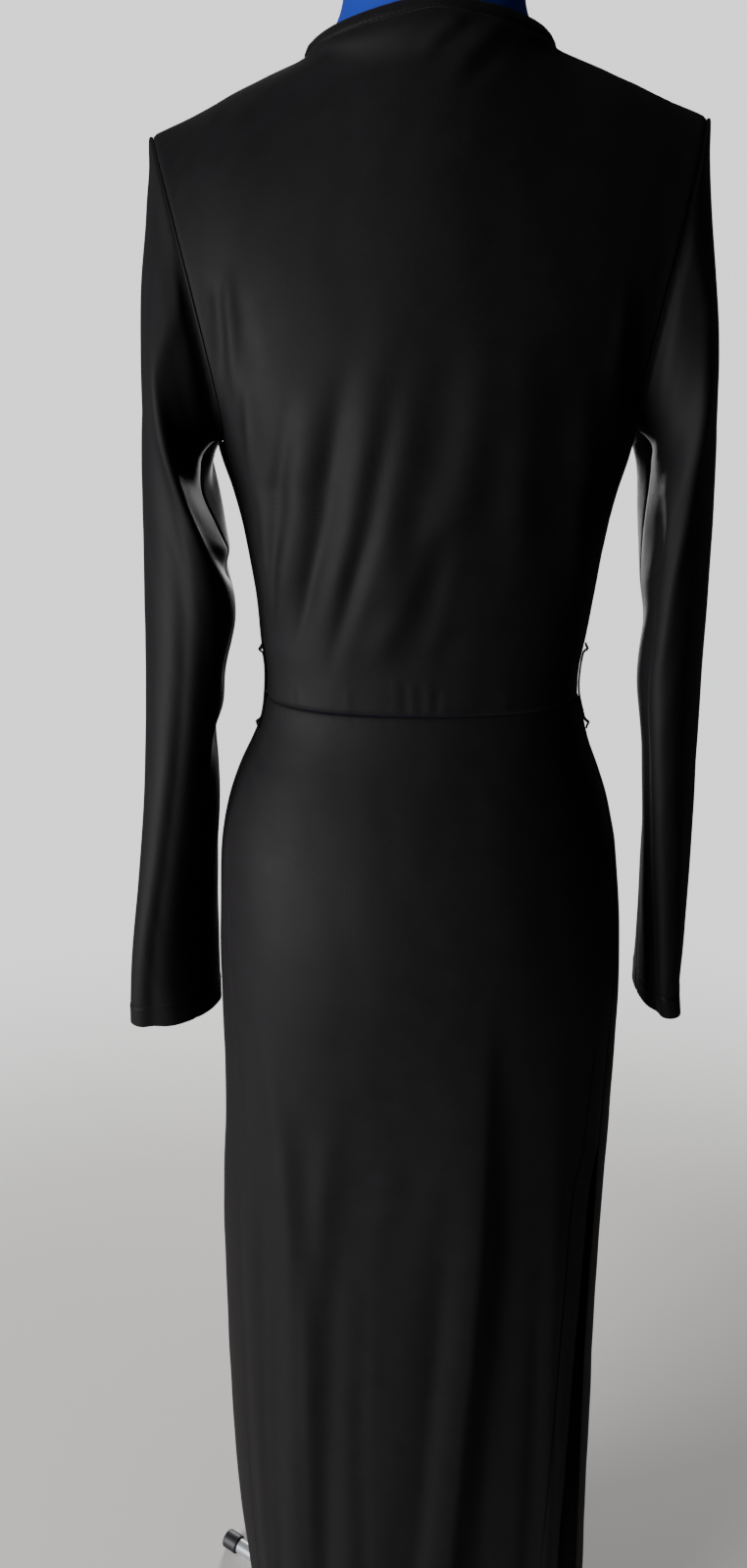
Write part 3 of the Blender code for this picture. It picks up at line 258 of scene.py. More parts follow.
# Creases of a sleeve: where it starts and ends, in shares from armhole to hem and in degrees round it (0 outer
# side, 90 back, -90 front), how high it stands and its width.
Twist = namedtuple("Twist", "start start_turn end end_turn lift width")
LEFT_SLEEVE_CREASES = (
    Twist(0.08, 40.0, 0.99, 124.0, -0.0028, 0.0120), Twist(0.40, 30.0, 0.99, 72.0, 0.0010, 0.0150),
    Twist(0.10, 88.0, 0.72, 150.0, 0.0020, 0.0125), Twist(0.02, 66.0, 0.26, 86.0, 0.0016, 0.0070),
    Twist(0.50, 154.0, 0.72, 136.0, 0.0010, 0.0045), Twist(0.44, 160.0, 0.60, 146.0, -0.0009, 0.0045),
    Twist(0.08, -30.0, 0.60, -70.0, 0.0020, 0.0100), Twist(0.26, -104.0, 0.62, -128.0, 0.0018, 0.0100),
    Twist(0.40, -50.0, 0.92, -96.0, -0.0020, 0.0100), Twist(0.05, -78.0, 0.28, -96.0, 0.0014, 0.0070),
)
RIGHT_SLEEVE_CREASES = (
    Twist(0.12, 70.0, 0.55, 98.0, 0.0014, 0.0100), Twist(0.34, 130.0, 0.99, 128.0, -0.0022, 0.0090),
    Twist(0.42, 54.0, 0.97, 60.0, 0.0012, 0.0120), Twist(0.03, 50.0, 0.22, 66.0, 0.0012, 0.0070),
    Twist(0.20, 142.0, 0.38, 112.0, 0.0012, 0.0060), Twist(0.24, 150.0, 0.40, 124.0, -0.0010, 0.0050),
    Twist(0.10, -34.0, 0.58, -66.0, 0.0020, 0.0100), Twist(0.30, -104.0, 0.90, -126.0, 0.0018, 0.0100),
    Twist(0.45, -50.0, 0.95, -80.0, -0.0018, 0.0100), Twist(0.04, -80.0, 0.26, -98.0, 0.0014, 0.0070),
)
# Buckles across a sleeve: how far down, where round it, how far the cloth stands, and its reach down and round.
Buckle = namedtuple("Buckle", "down turn lift reach spread")
LEFT_SLEEVE_BUCKLES = (
    Buckle(0.305, 176.0, 0.0020, 0.012, 26.0), Buckle(0.345, 178.0, -0.0040, 0.013, 28.0),
    Buckle(0.440, 170.0, 0.0042, 0.030, 36.0), Buckle(0.560, 168.0, 0.0024, 0.020, 30.0),
    Buckle(0.615, 172.0, -0.0040, 0.016, 32.0), Buckle(0.700, 172.0, 0.0018, 0.022, 30.0),
    Buckle(0.470, -150.0, -0.0028, 0.022, 34.0), Buckle(0.560, -120.0, 0.0022, 0.024, 34.0),
)
RIGHT_SLEEVE_BUCKLES = (
    Buckle(0.420, 174.0, -0.0026, 0.020, 32.0), Buckle(0.520, 172.0, 0.0014, 0.030, 32.0),
    Buckle(0.720, 172.0, -0.0016, 0.024, 30.0), Buckle(0.480, -140.0, -0.0024, 0.022, 34.0),
    Buckle(0.580, -110.0, 0.0020, 0.026, 34.0),
)


def smooth(value):
    """A soft step from 0 to 1."""
    value = np.clip(value, 0.0, 1.0)
    return value * value * (3.0 - 2.0 * value)


def vec(x, y, z):
    """Points from their coordinates."""
    return np.stack(np.broadcast_arrays(x, y, z), axis=-1).astype(float)


def unit(vectors):
    return vectors / np.maximum(np.linalg.norm(vectors, axis=-1, keepdims=True), 1e-12)


def flow(keys, rows, at):
    """Rows of values on a smooth curve through their keys."""
    keys, rows = np.asarray(keys, float), np.asarray(rows, float)
    at = np.clip(at, keys[0], keys[-1])
    last = len(keys) - 1
    i = np.clip(np.searchsorted(keys, at) - 1, 0, last - 1)
    before, after = np.maximum(i - 1, 0), np.minimum(i + 2, last)
    span = keys[i + 1] - keys[i]
    fill = (...,) + (None,) * (rows.ndim - 1)
    t = ((at - keys[i]) / span)[fill]
    slope_a = (rows[i + 1] - rows[before]) * (span / (keys[i + 1] - keys[before]))[fill]
    slope_b = (rows[after] - rows[i]) * (span / (keys[after] - keys[i]))[fill]
    return ((2 * t ** 3 - 3 * t ** 2 + 1) * rows[i] + (t ** 3 - 2 * t ** 2 + t) * slope_a
            + (3 * t ** 2 - 2 * t ** 3) * rows[i + 1] + (t ** 3 - t ** 2) * slope_b)


def between(table, at):
    """The other columns of a table at values of its first column."""
    table = np.asarray(table, float)
    values = flow(table[:, 0], table[:, 1:], np.asarray(at, float))
    return [values[..., k] for k in range(values.shape[-1])]


def lean(points):
    """The small lean of the shoulders."""
    share = smooth((points[..., 2] - LEAN_FROM) / LEAN_OVER)
    return vec(points[..., 0] + SHIFT * share, points[..., 1], points[..., 2] + LEAN * points[..., 0] * share)


def turn_of(angle):
    """An angle brought between -180 and 180 degrees."""
    return (angle + 180.0) % 360.0 - 180.0


def share_of(angle):
    """From 1 at the wearer's left side to -1 at the right side, on the back and on the front alike."""
    return 1.0 - np.abs(turn_of(angle)) / 90.0


def ring_point(angle, height):
    """Points of the torso's ring at a height, with its drop under the armholes."""
    away = np.clip((1.0 - np.abs(share_of(angle))) / DROP_SHARE, 0.0, 1.0)
    height = height - DROP * (1.0 - (1.0 - away) ** 2) * smooth((height - DROP_FROM) / (UNDERARM - DROP_FROM))
    left, right, back, front = between(SECTIONS, height)
    c, s = np.cos(np.radians(angle)), np.sin(np.radians(angle))
    fuller = 1.0 + FULLER * (2.0 * s * c) ** 2
    return vec(np.where(c > 0, left, right) * c * fuller, np.where(s > 0, back, front) * s * fuller, height)


def crest(share, behind):
    """The end of a column: on the shoulder seam, or on the neck edge in the middle."""
    side, out = np.where(share < 0, -1.0, 1.0), np.abs(share)
    t = (out - NECK_SHARE) / (1.0 - NECK_SHARE)
    shoulder = vec(side * (NECK[0] + (TIP[0] - NECK[0]) * t), NECK[1] + (TIP[1] - NECK[1]) * t,
                   NECK[2] + (TIP[2] - NECK[2]) * t)
    turn = np.clip(out / NECK_SHARE, 0.0, 1.0) * math.pi / 2.0
    end_y, end_z = np.where(behind, NAPE_Y, THROAT_Y), np.where(behind, NAPE_Z, THROAT_Z)
    edge = vec(side * NECK[0] * np.sin(turn), NECK[1] + (end_y - NECK[1]) * np.cos(turn),
               NECK[2] + (end_z - NECK[2]) * (1.0 - np.sin(turn)))
    return np.where((out >= NECK_SHARE)[..., None], shoulder, edge)


def base(angle, rise):
    """The smooth torso. A rise below 0 is metres under the underarm ring; 0 to 1 runs from it to the crest."""
    angle, rise = np.broadcast_arrays(np.asarray(angle, float), np.asarray(rise, float))
    turned = turn_of(angle)
    behind = (turned > 0.0) | (turned <= -180.0)
    share = share_of(turned)
    side, facing = np.where(share < 0, -1.0, 1.0), np.where(behind, 1.0, -1.0)
    back, front = between(BACK_COLUMNS, np.abs(share)), between(FRONT_COLUMNS, np.abs(share))
    rx, ry, rz, cx, cy, cz = [np.where(behind, b, f) for b, f in zip(back, front)]
    t = np.clip(rise, 0.0, 1.0)[..., None]
    high = ring_point(angle, UNDERARM) * (1 - t) ** 3 + vec(side * rx, facing * ry, rz) * (3 * t * (1 - t) ** 2)
    high += vec(side * cx, facing * cy, cz) * (3 * t * t * (1 - t)) + crest(share, behind) * t ** 3
    low = ring_point(angle, UNDERARM + np.minimum(rise, 0.0))
    return lean(np.where((rise <= 0.0)[..., None], low, high))


def facing_of(angle, rise):
    """Outward direction of the smooth torso."""
    angle, rise = np.broadcast_arrays(turn_of(np.asarray(angle, float)), np.asarray(rise, float))
    step, above = 0.6, rise > 0.0
    sign = np.where(above & (angle <= 0.0), -1.0, 1.0)
    low = np.where(above, sign * np.maximum(np.abs(angle) - step, 0.01), angle - step)
    high = np.where(above, sign * np.minimum(np.abs(angle) + step, 179.99), angle + step)
    over = np.where(above, np.minimum(rise + 0.01, 1.0), np.minimum(rise + 0.002, 0.0))
    under = np.where(above, np.maximum(rise - 0.01, 0.001), over - 0.004)
    across = (base(high, rise) - base(low, rise)) * sign[..., None]
    return unit(np.cross(across, base(angle, over) - base(angle, under)))


def normal_of(angle, rise):
    """The outward direction, shared by the back and the front along the shoulders and the sides."""
    angle, rise = np.broadcast_arrays(turn_of(np.asarray(angle, float)), np.asarray(rise, float))
    inside = np.clip(np.abs(angle), 0.01, 179.99)
    share = np.abs(share_of(angle))
    near = np.where(np.abs(angle) < 90.0, 1.0, 179.0) * np.where(angle < 0.0, -1.0, 1.0)
    at_side = (rise > 0.0) & (share > 0.999)
    plain = facing_of(np.where(at_side, near, angle), rise)
    both = unit(facing_of(inside, rise) + facing_of(-inside, rise))
    shared = smooth((rise - 0.93) / 0.07) * smooth((share - NECK_SHARE + 0.04) / 0.04)
    return unit(plain * (1.0 - shared[..., None]) + both * shared[..., None])


def ridge(folds, angle, points):
    """How far the folds lift the cloth. Skirt folds run on to the hem, and bodice folds fade again."""
    lift = np.zeros(points.shape[:-1])
    height = points[..., 2]
    reach = np.hypot(points[..., 0], points[..., 1])
    for fold in folds:
        span = fold.top - fold.bottom
        rows = ((fold.bottom, fold.bottom_angle), (fold.middle, fold.middle_angle), (fold.top, fold.top_angle))
        slope = (fold.bottom_angle - fold.middle_angle) / (fold.middle - fold.bottom)
        below = fold.bottom_angle + slope * (fold.bottom - height)
        at = np.where(height < fold.bottom, below, between(rows, height)[0])
        off = np.radians(turn_of(angle - at)) * reach
        width = np.where(off < 0.0, fold.left_width, fold.right_width)
        grown = smooth((fold.top - height) / (FOLD_GROWS * span))
        if fold.top > WAIST:
            grown = grown * smooth((height - fold.bottom) / (FOLD_FADES * span))
        lift += fold.lift * grown * np.exp(-(off / width) ** 2)
    return lift


def bust(points):
    """The fullness over the bust; none at the sides."""
    lift = 0.0
    for x, z in BUST:
        away = (points[..., 0] - x) ** 2 + (points[..., 2] - z) ** 2 * 0.8
        lift = lift + BUST_DEPTH * np.exp(-away / (2 * BUST_RADIUS ** 2))
    return lift * smooth((-points[..., 1] - 0.035) / 0.055)


def crease_lift(creases, points):
    """How far the short creases of the back lift the cloth; none on the front."""
    lift = np.zeros(points.shape[:-1])
    for crease in creases:
        run_x, run_z = crease.end_x - crease.x, crease.end_z - crease.z
        length = math.hypot(run_x, run_z)
        off_x, off_z = points[..., 0] - crease.x, points[..., 2] - crease.z
        along = (off_x * run_x + off_z * run_z) / length ** 2
        aside = (off_x * run_z - off_z * run_x) / length
        grown = smooth((along + 0.15) / 0.35) * smooth((1.15 - along) / 0.5)
        lift += crease.lift * grown * np.exp(-(aside / crease.width) ** 2)
    return lift * smooth(points[..., 1] / 0.03)


def drift(across, along, seed):
    """The slight unevenness of hung jersey, from a few long waves that don't line up."""
    total = 0.0
    for k, (length_u, length_v, height) in enumerate(((0.083, 0.31, 0.00016), (0.047, 0.19, 0.00010),
                                                      (0.029, 0.11, 0.00005), (0.131, 0.067, 0.00010))):
        phase = seed * 1.7 + k * 2.3
        bend = 1.3 * np.sin(along / length_v * ONE_TURN)
        total = total + height * np.sin(across / length_u * ONE_TURN + phase + bend)
    return total


def fold_at(angle, points):
    """How far all folds, creases and the fullness of the front lift the cloth."""
    depth = bpy.context.scene.wrap_dress_sizes.fold_depth
    skirt = ridge(SKIRT_FOLDS, angle, points) + ridge(FINE_SKIRT_FOLDS, angle, points)
    bodice = ridge(BODICE_FOLDS, angle, points) + ridge(FINE_BODICE_FOLDS, angle, points)
    bodice += crease_lift(NAPE_CREASES, points) + crease_lift(WAIST_PUCKERS, points)
    return depth * np.where(points[..., 2] < WAIST, skirt, bodice) + bust(points)


def wrap_edge(rise):
    """Degrees past the middle of the front at which the wraps' edges lie."""
    rise = np.asarray(rise, float)
    height = UNDERARM + rise
    low = np.where(height < WAIST - 1e-6, between(SKIRT_WRAP, height)[0], between(BODICE_WRAP, height)[0])
    start = BODICE_WRAP[-1][1]
    return np.where(rise > 0.0, start + (NECK_PAST_MIDDLE - start) * rise, low)


def outermost(angle, rise):
    """The cloth lies on the surface, with none over it."""
    return np.zeros(np.shape(angle))


def under_over(angle, rise):
    """How far the under wrap lies inside: all of it under the over wrap, and none at its own side seam."""
    past = turn_of(angle) + 90.0
    return LAYER * smooth((wrap_edge(rise) + WRAP_MARGIN + WRAP_FADE - past) / WRAP_FADE)


def side_angle(rise, left):
    """The angle of a side seam."""
    off_left, off_right = between(SIDE_SEAMS, UNDERARM + rise)
    return off_left if left else 180.0 - off_right


def degree_width(angle, rise):
    """How many metres of the surface one degree spans."""
    return np.linalg.norm(base(angle + 0.5, rise) - base(angle - 0.5, rise), axis=-1)


def seam_of(rise, left, back):
    """A side seam's edge angle for the back or the front, half a lap past the seam."""
    rise = np.asarray(rise, float)
    away = 1.0 if left == back else -1.0
    angle = side_angle(rise, left)
    lapped = angle - away * SIDE_LAP / 2.0 / np.maximum(degree_width(angle, rise), 1e-6)
    return np.where(rise > 0.0, (0.0 if left else 180.0) + away * HAIR, lapped)


def slit_edge(rise, seam, column):
    """The seam's edge down to the slit, and the slit's own edge below it."""
    height = UNDERARM + np.asarray(rise, float)
    return np.where(height < SLIT_TOP, 180.0 - between(SLIT, height)[column], seam)


def back_edges(rise):
    return slit_edge(rise, seam_of(rise, False, True), 0), seam_of(rise, True, True)


def right_front_edges(rise):
    return slit_edge(rise, seam_of(rise, False, False), 1) - 360.0, -90.0 + wrap_edge(rise)


def left_front_edges(rise):
    return seam_of(rise, True, False), -90.0 - wrap_edge(rise)


def eased(count, crowd):
    """Shares from 0 to 1 that crowd toward both ends, where the seams are."""
    t = np.linspace(0.0, 1.0, count)
    return t - crowd * np.sin(2.0 * math.pi * t) / (2.0 * math.pi)


def run_length(points, axis):
    """Distance along the rows or the columns of a grid of points, from its first edge."""
    steps = np.linalg.norm(np.diff(points, axis=axis), axis=-1)
    return np.concatenate([np.zeros_like(np.take(steps, [0], axis)), np.cumsum(steps, axis=axis)], axis=axis)


def sewn(distance, along, seam):
    """The groove where a seam draws the cloth in, with the small puckers that its stitches leave beside it."""
    groove = -seam.depth * np.exp(-(distance / 0.0016) ** 2)
    groove = groove - 0.35 * seam.depth * np.exp(-(distance / 0.0045) ** 2)
    waves = np.sin(along / 0.0083 * ONE_TURN + 1.7 * np.sin(along / 0.031 * ONE_TURN))
    return groove + seam.pucker * waves * np.exp(-distance / 0.0055) * smooth(distance / 0.0012)


def turned(distance, width):
    """A turned and stitched edge: twice the cloth out to the stitching, which sinks in."""
    doubled = DOUBLED * smooth((width - distance) / 0.0012)
    return doubled - DENT * np.exp(-((distance - width) / 0.0011) ** 2)


# Evening out begins this far in from a piece's edges, and grows over the next distance.
RELAX_PASSES, RELAX_FROM, RELAX_OVER = 160, 0.004, 0.030


def relaxed(points, rise):
    """Evens out the turns between the measured columns of the upper bodice, but not the cloth's edges."""
    across, along = run_length(points, 1), run_length(points, 0)
    inset = np.minimum(np.minimum(across, across[:, -1:] - across), np.minimum(along, along[-1:] - along))
    ease = (0.5 * smooth((inset - RELAX_FROM) / RELAX_OVER) * smooth((rise + 0.10) / 0.10))[..., None]
    for _ in range(RELAX_PASSES):
        points = points + ease * ((np.roll(points, 1, 1) + np.roll(points, -1, 1)) / 2.0 - points)
    return points


def panel(rises, edges, shares, inside_at, finish, seed):
    """A cloth panel's grid of points, with its run across and along. The finish gives what its edges do."""
    rise = rises[:, None] + 0.0 * shares[None, :]
    first, last = edges(rises)
    angle = first[:, None] + (last - first)[:, None] * shares[None, :]
    smooth_cloth = relaxed(base(angle, rise), rise)
    across, along = run_length(smooth_cloth, 1), run_length(smooth_cloth, 0)
    lift = fold_at(angle, smooth_cloth) + drift(across - across[:, -1:] / 2.0, along, seed)
    lift += finish(across, across[:, -1:] - across, along, along[-1:, :] - along, angle, rise)
    return smooth_cloth + normal_of(angle, rise) * (lift - inside_at(angle, rise))[..., None], across, along


def put(bm, name, material, rounded=True):
    """Makes the finished mesh an object at the origin and gives it its material."""
    mesh = bpy.data.meshes.new(name)
    bm.to_mesh(mesh)
    bm.free()
    made = bpy.data.objects.new(name, mesh)
    bpy.context.scene.collection.objects.link(made)
    mesh.materials.append(material)
    if rounded:
        mesh.shade_smooth()
        mesh.set_sharp_from_angle(angle=math.radians(40.0))
    return made


def cloth_sheet(name, points, across, along, middle, material, closed=False):
    """A fine grid moved onto the cloth's surface, facing away from a middle line, with a UV map in metres."""
    rows, columns = points.shape[:2]
    bm = bmesh.new()
    bmesh.ops.create_grid(bm, x_segments=columns - 1, y_segments=rows - 1, size=0.5)
    layer = bm.loops.layers.uv.new("cloth")
    place = {}
    for vert in bm.verts:
        c, r = round((vert.co.x + 0.5) * (columns - 1)), round((vert.co.y + 0.5) * (rows - 1))
        vert.co = points[r, c]
        place[vert] = (across[r, c], along[r, c])
    for face in bm.faces:
        for loop in face.loops:
            loop[layer].uv = place[loop.vert]
    if closed:
        bmesh.ops.remove_doubles(bm, verts=bm.verts, dist=1e-6)
    bm.normal_update()
    outward = 0.0
    for face in list(bm.faces)[::97]:
        centre = face.calc_center_median()
        outward += (centre - middle(centre.z)).dot(face.normal)
    if outward < 0.0:
        bmesh.ops.reverse_faces(bm, faces=bm.faces)
    made = put(bm, name, material)
    wall = made.modifiers.new("cloth thickness", 'SOLIDIFY')
    wall.thickness = bpy.context.scene.wrap_dress_sizes.cloth
    wall.offset = -1.0
    return made


def worn(piece, solid):
    """The piece takes the place of its solid and rides with the one body."""
    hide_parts(solid)
    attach(piece, "root")


def linear_of(code):
    """An sRGB hex colour as linear red, green and blue."""
    parts = [int(code[i:i + 2], 16) / 255.0 for i in (1, 3, 5)]
    return tuple(p / 12.92 if p <= 0.04045 else ((p + 0.055) / 1.055) ** 2.4 for p in parts)


def node(tree, kind, settings=None, links=None):
    """Adds a node with its settings and links."""
    made = tree.nodes.new(kind)
    for key, value in (settings or {}).items():
        if isinstance(key, str) and hasattr(made, key):
            setattr(made, key, value)
        else:
            made.inputs[key].default_value = value
    for key, source in (links or {}).items():
        tree.links.new(source, made.inputs[key])
    return made


def bare_material(name):
    """A new material, with its nodes and its shader."""
    material = bpy.data.materials.new(name)
    material.use_nodes = True
    tree = material.node_tree
    return material, tree, tree.nodes["Principled BSDF"]


def shade_of(colour, factor):
    """A colour made lighter or darker, with full alpha."""
    return (colour[0] * factor, colour[1] * factor, colour[2] * factor, 1.0)


BAND = 0.31416               # width of one band of the wave texture at scale 1, in metres
LOOP_DEPTH, FUZZ, SHEEN = 0.00010, 0.35, 0.05


def knit(name, colour, wale, course, rough):
    """A single knit seen from its face: columns of loops a wale apart, with softer rows between them, and painted
    shade in the hollows between the loops.
    """
    material, tree, shader = bare_material(name)
    cloth = node(tree, 'ShaderNodeUVMap', {'uv_map': "cloth"})
    where = cloth.outputs['UV']
    soft = node(tree, 'ShaderNodeTexNoise', {'Scale': 55.0, 'Detail': 3.0, 'Roughness': 0.5}, {'Vector': where})
    bent = node(tree, 'ShaderNodeVectorMath', {'operation': 'SCALE', 'Scale': 0.0006}, {0: soft.outputs['Color']})
    laid = node(tree, 'ShaderNodeVectorMath', {'operation': 'ADD'}, {0: where, 1: bent.outputs[0]})
    columns, rows = [node(tree, 'ShaderNodeTexWave', {'wave_type': 'BANDS', 'bands_direction': way,
                                                      'Scale': BAND / apart, 'Detail': 0.0},
                          {'Vector': laid.outputs[0]}) for way, apart in (('X', wale), ('Y', course))]
    fibres = node(tree, 'ShaderNodeTexNoise', {'Scale': 900.0, 'Detail': 4.0, 'Roughness': 0.6}, {'Vector': where})
    loops = node(tree, 'ShaderNodeMix', {'data_type': 'FLOAT', 0: 0.35},
                 {2: columns.outputs['Fac'], 3: rows.outputs['Fac']})
    surface = node(tree, 'ShaderNodeMix', {'data_type': 'FLOAT', 0: FUZZ},
                   {2: loops.outputs[0], 3: fibres.outputs['Fac']})
    tone = node(tree, 'ShaderNodeMapRange', {'From Min': 0.3, 'From Max': 0.7, 'To Min': 0.0, 'To Max': 1.0},
                {'Value': soft.outputs['Fac']})
    dyed = node(tree, 'ShaderNodeMix', {'data_type': 'RGBA', 6: shade_of(colour, 0.86), 7: shade_of(colour, 1.16)},
                {0: tone.outputs[0]})
    # Painted shade: the dyed colour is darkened where the loops and fibres sink in, as shade falling in the
    # hollows between them.
    loop_hollow_shade = node(tree, 'ShaderNodeMix', {'data_type': 'RGBA', 'blend_type': 'MULTIPLY', 0: 0.35},
                {6: dyed.outputs[2], 7: surface.outputs[0]})
    worn_rough = node(tree, 'ShaderNodeMapRange', {'To Min': rough - 0.05, 'To Max': rough + 0.05},
                      {'Value': soft.outputs['Fac']})
    raised = node(tree, 'ShaderNodeBump', {'Strength': 0.55, 'Distance': LOOP_DEPTH},
                  {'Height': surface.outputs[0]})
    tree.links.new(loop_hollow_shade.outputs[2], shader.inputs['Base Color'])
    tree.links.new(worn_rough.outputs[0], shader.inputs['Roughness'])
    tree.links.new(raised.outputs[0], shader.inputs['Normal'])
    shader.inputs['Specular IOR Level'].default_value = 0.20
    shader.inputs['Sheen Weight'].default_value = SHEEN
    shader.inputs['Sheen Roughness'].default_value = 0.42
    return material


def black_jersey():
    """Viscose jersey, single-knitted fine and dyed through: a soft satin light on the turned faces, no print."""
    colour = bpy.context.scene.wrap_dress_colours.jersey
    # Real wales lie 0.6 mm apart; they are drawn 1.1 mm apart so that they show.
    return knit("black viscose jersey", colour, 0.0011, 0.0013, 0.66)


def jersey_binding():
    """The same jersey cut across and folded double, so its columns run along the strip."""
    colour = bpy.context.scene.wrap_dress_colours.jersey
    return knit("black jersey binding", colour, 0.0013, 0.0011, 0.64)


def blue_cover():
    """Nylon stretch cover of the form: a coarser, brighter knit with a dry surface."""
    material, tree, shader = bare_material("blue stretch knit cover")
    colour = bpy.context.scene.wrap_dress_colours.cover
    place = node(tree, 'ShaderNodeTexCoord').outputs['Object']
    # The loops of the cover lie 1.3 mm apart across and 1.2 mm apart down.
    columns, rows = [node(tree, 'ShaderNodeTexWave', {'wave_type': 'BANDS', 'bands_direction': way, 'Scale': scale,
                                                      'Distortion': 0.6, 'Detail': 1.0},
                          {'Vector': place}) for way, scale in (('X', 240.0), ('Z', 262.0))]
    loops = node(tree, 'ShaderNodeMath', {'operation': 'MULTIPLY'},
                 {0: columns.outputs['Fac'], 1: rows.outputs['Fac']})
    fibres = node(tree, 'ShaderNodeTexNoise', {'Scale': 700.0, 'Detail': 3.0}, {'Vector': place})
    surface = node(tree, 'ShaderNodeMix', {'data_type': 'FLOAT', 0: 0.4},
                   {2: loops.outputs[0], 3: fibres.outputs['Fac']})
    patch = node(tree, 'ShaderNodeTexNoise', {'Scale': 14.0, 'Detail': 2.0}, {'Vector': place})
    dyed = node(tree, 'ShaderNodeMix', {'data_type': 'RGBA', 6: shade_of(colour, 0.80), 7: shade_of(colour, 1.12)},
                {0: patch.outputs['Fac']})
    raised = node(tree, 'ShaderNodeBump', {'Strength': 0.5, 'Distance': 0.0003}, {'Height': surface.outputs[0]})
    tree.links.new(dyed.outputs[2], shader.inputs['Base Color'])
    tree.links.new(raised.outputs[0], shader.inputs['Normal'])
    shader.inputs['Roughness'].default_value = 0.72
    shader.inputs['Specular IOR Level'].default_value = 0.30
    shader.inputs['Sheen Weight'].default_value = 0.05
    return material


def sewing_thread():
    """Spun polyester thread: dull black, twisted."""
    material, tree, shader = bare_material("black polyester thread")
    place = node(tree, 'ShaderNodeTexCoord').outputs['Object']
    twist = node(tree, 'ShaderNodeTexNoise', {'Scale': 2600.0, 'Detail': 2.0}, {'Vector': place})
    colour = bpy.context.scene.wrap_dress_colours.jersey
    dyed = node(tree, 'ShaderNodeMix', {'data_type': 'RGBA', 6: shade_of(colour, 0.8), 7: shade_of(colour, 1.4)},
                {0: twist.outputs['Fac']})
    tree.links.new(dyed.outputs[2], shader.inputs['Base Color'])
    shader.inputs['Roughness'].default_value = 0.60
    shader.inputs['Specular IOR Level'].default_value = 0.20
    return material


def painted_tube():
    """Powder-coated steel tube: silver-grey, an even satin skin with a faint orange-peel."""
    material, tree, shader = bare_material("silver-grey powder-coated steel")
    colour = bpy.context.scene.wrap_dress_colours.tube
    place = node(tree, 'ShaderNodeTexCoord').outputs['Object']
    peel = node(tree, 'ShaderNodeTexNoise', {'Scale': 420.0, 'Detail': 3.0}, {'Vector': place})
    handled = node(tree, 'ShaderNodeTexNoise', {'Scale': 18.0, 'Detail': 3.0}, {'Vector': place})
    coat = node(tree, 'ShaderNodeMix', {'data_type': 'RGBA', 6: shade_of(colour, 0.88), 7: shade_of(colour, 1.06)},
                {0: handled.outputs['Fac']})
    rough = node(tree, 'ShaderNodeMapRange', {'To Min': 0.28, 'To Max': 0.46}, {'Value': handled.outputs['Fac']})
    raised = node(tree, 'ShaderNodeBump', {'Strength': 0.25, 'Distance': 0.0001}, {'Height': peel.outputs['Fac']})
    tree.links.new(coat.outputs[2], shader.inputs['Base Color'])
    tree.links.new(rough.outputs[0], shader.inputs['Roughness'])
    tree.links.new(raised.outputs[0], shader.inputs['Normal'])
    shader.inputs['Metallic'].default_value = 0.35
    return material


def moulded_plastic():
    """Injection-moulded polypropylene: near black, finely grained, a little scuffed."""
    material, tree, shader = bare_material("black moulded polypropylene")
    colour = bpy.context.scene.wrap_dress_colours.plastic
    place = node(tree, 'ShaderNodeTexCoord').outputs['Object']
    grain = node(tree, 'ShaderNodeTexVoronoi', {'Scale': 1100.0}, {'Vector': place})
    scuff = node(tree, 'ShaderNodeTexNoise', {'Scale': 60.0, 'Detail': 5.0, 'Roughness': 0.65}, {'Vector': place})
    skin = node(tree, 'ShaderNodeMix', {'data_type': 'RGBA', 6: shade_of(colour, 0.8), 7: shade_of(colour, 1.5)},
                {0: scuff.outputs['Fac']})
    rough = node(tree, 'ShaderNodeMapRange', {'To Min': 0.38, 'To Max': 0.62}, {'Value': scuff.outputs['Fac']})
    raised = node(tree, 'ShaderNodeBump', {'Strength': 0.3, 'Distance': 0.0001},
                  {'Height': grain.outputs['Distance']})
    tree.links.new(skin.outputs[2], shader.inputs['Base Color'])
    tree.links.new(rough.outputs[0], shader.inputs['Roughness'])
    tree.links.new(raised.outputs[0], shader.inputs['Normal'])
    return material


def shared(name, make):
    """A material made once and shared by the pieces of the same stuff."""
    return bpy.data.materials.get(name) or make()


def grid_normals(points, middle):
    """Outward directions of a grid of points, away from a middle line."""
    normals = unit(np.cross(np.gradient(points, axis=1), np.gradient(points, axis=0)))
    centres = np.array([[tuple(middle(p[2])) for p in row] for row in points[::8, ::8]])
    outward = np.sum((points[::8, ::8] - centres) * normals[::8, ::8])
    return normals if outward > 0.0 else -normals


def line_at(points, normals, distance, value, axis):
    """Points of a grid at a distance from one of its edges, one in each column (axis 0) or row (axis 1)."""
    grid = np.moveaxis(points, axis, 0)
    outs = np.moveaxis(normals, axis, 0)
    reach = np.moveaxis(distance, axis, 0)
    near = np.argmin(np.abs(reach - value), axis=0)
    picks = np.arange(grid.shape[1])
    rising = np.where(reach[-1] > reach[0], 1, -1)
    other = np.clip(near + np.where(reach[near, picks] < value, rising, -rising), 0, len(grid) - 1)
    step = reach[other, picks] - reach[near, picks]
    apart = np.abs(step) > 1e-9
    t = np.where(apart, (value - reach[near, picks]) / np.where(apart, step, 1.0), 0.0)
    return grid[near, picks] + (grid[other, picks] - grid[near, picks]) * t[:, None], outs[near, picks]


def one_stitch():
    """A single stitch lying along x: its points, and the corners of its faces."""
    bm = bmesh.new()
    bmesh.ops.create_uvsphere(bm, u_segments=6, v_segments=5, radius=1.0,
                              matrix=Matrix.Rotation(math.pi / 2.0, 4, 'Y'))
    bm.verts.index_update()
    points = np.array([tuple(v.co) for v in bm.verts])
    faces = [[v.index for v in f.verts] for f in bm.faces]
    bm.free()
    return points, faces


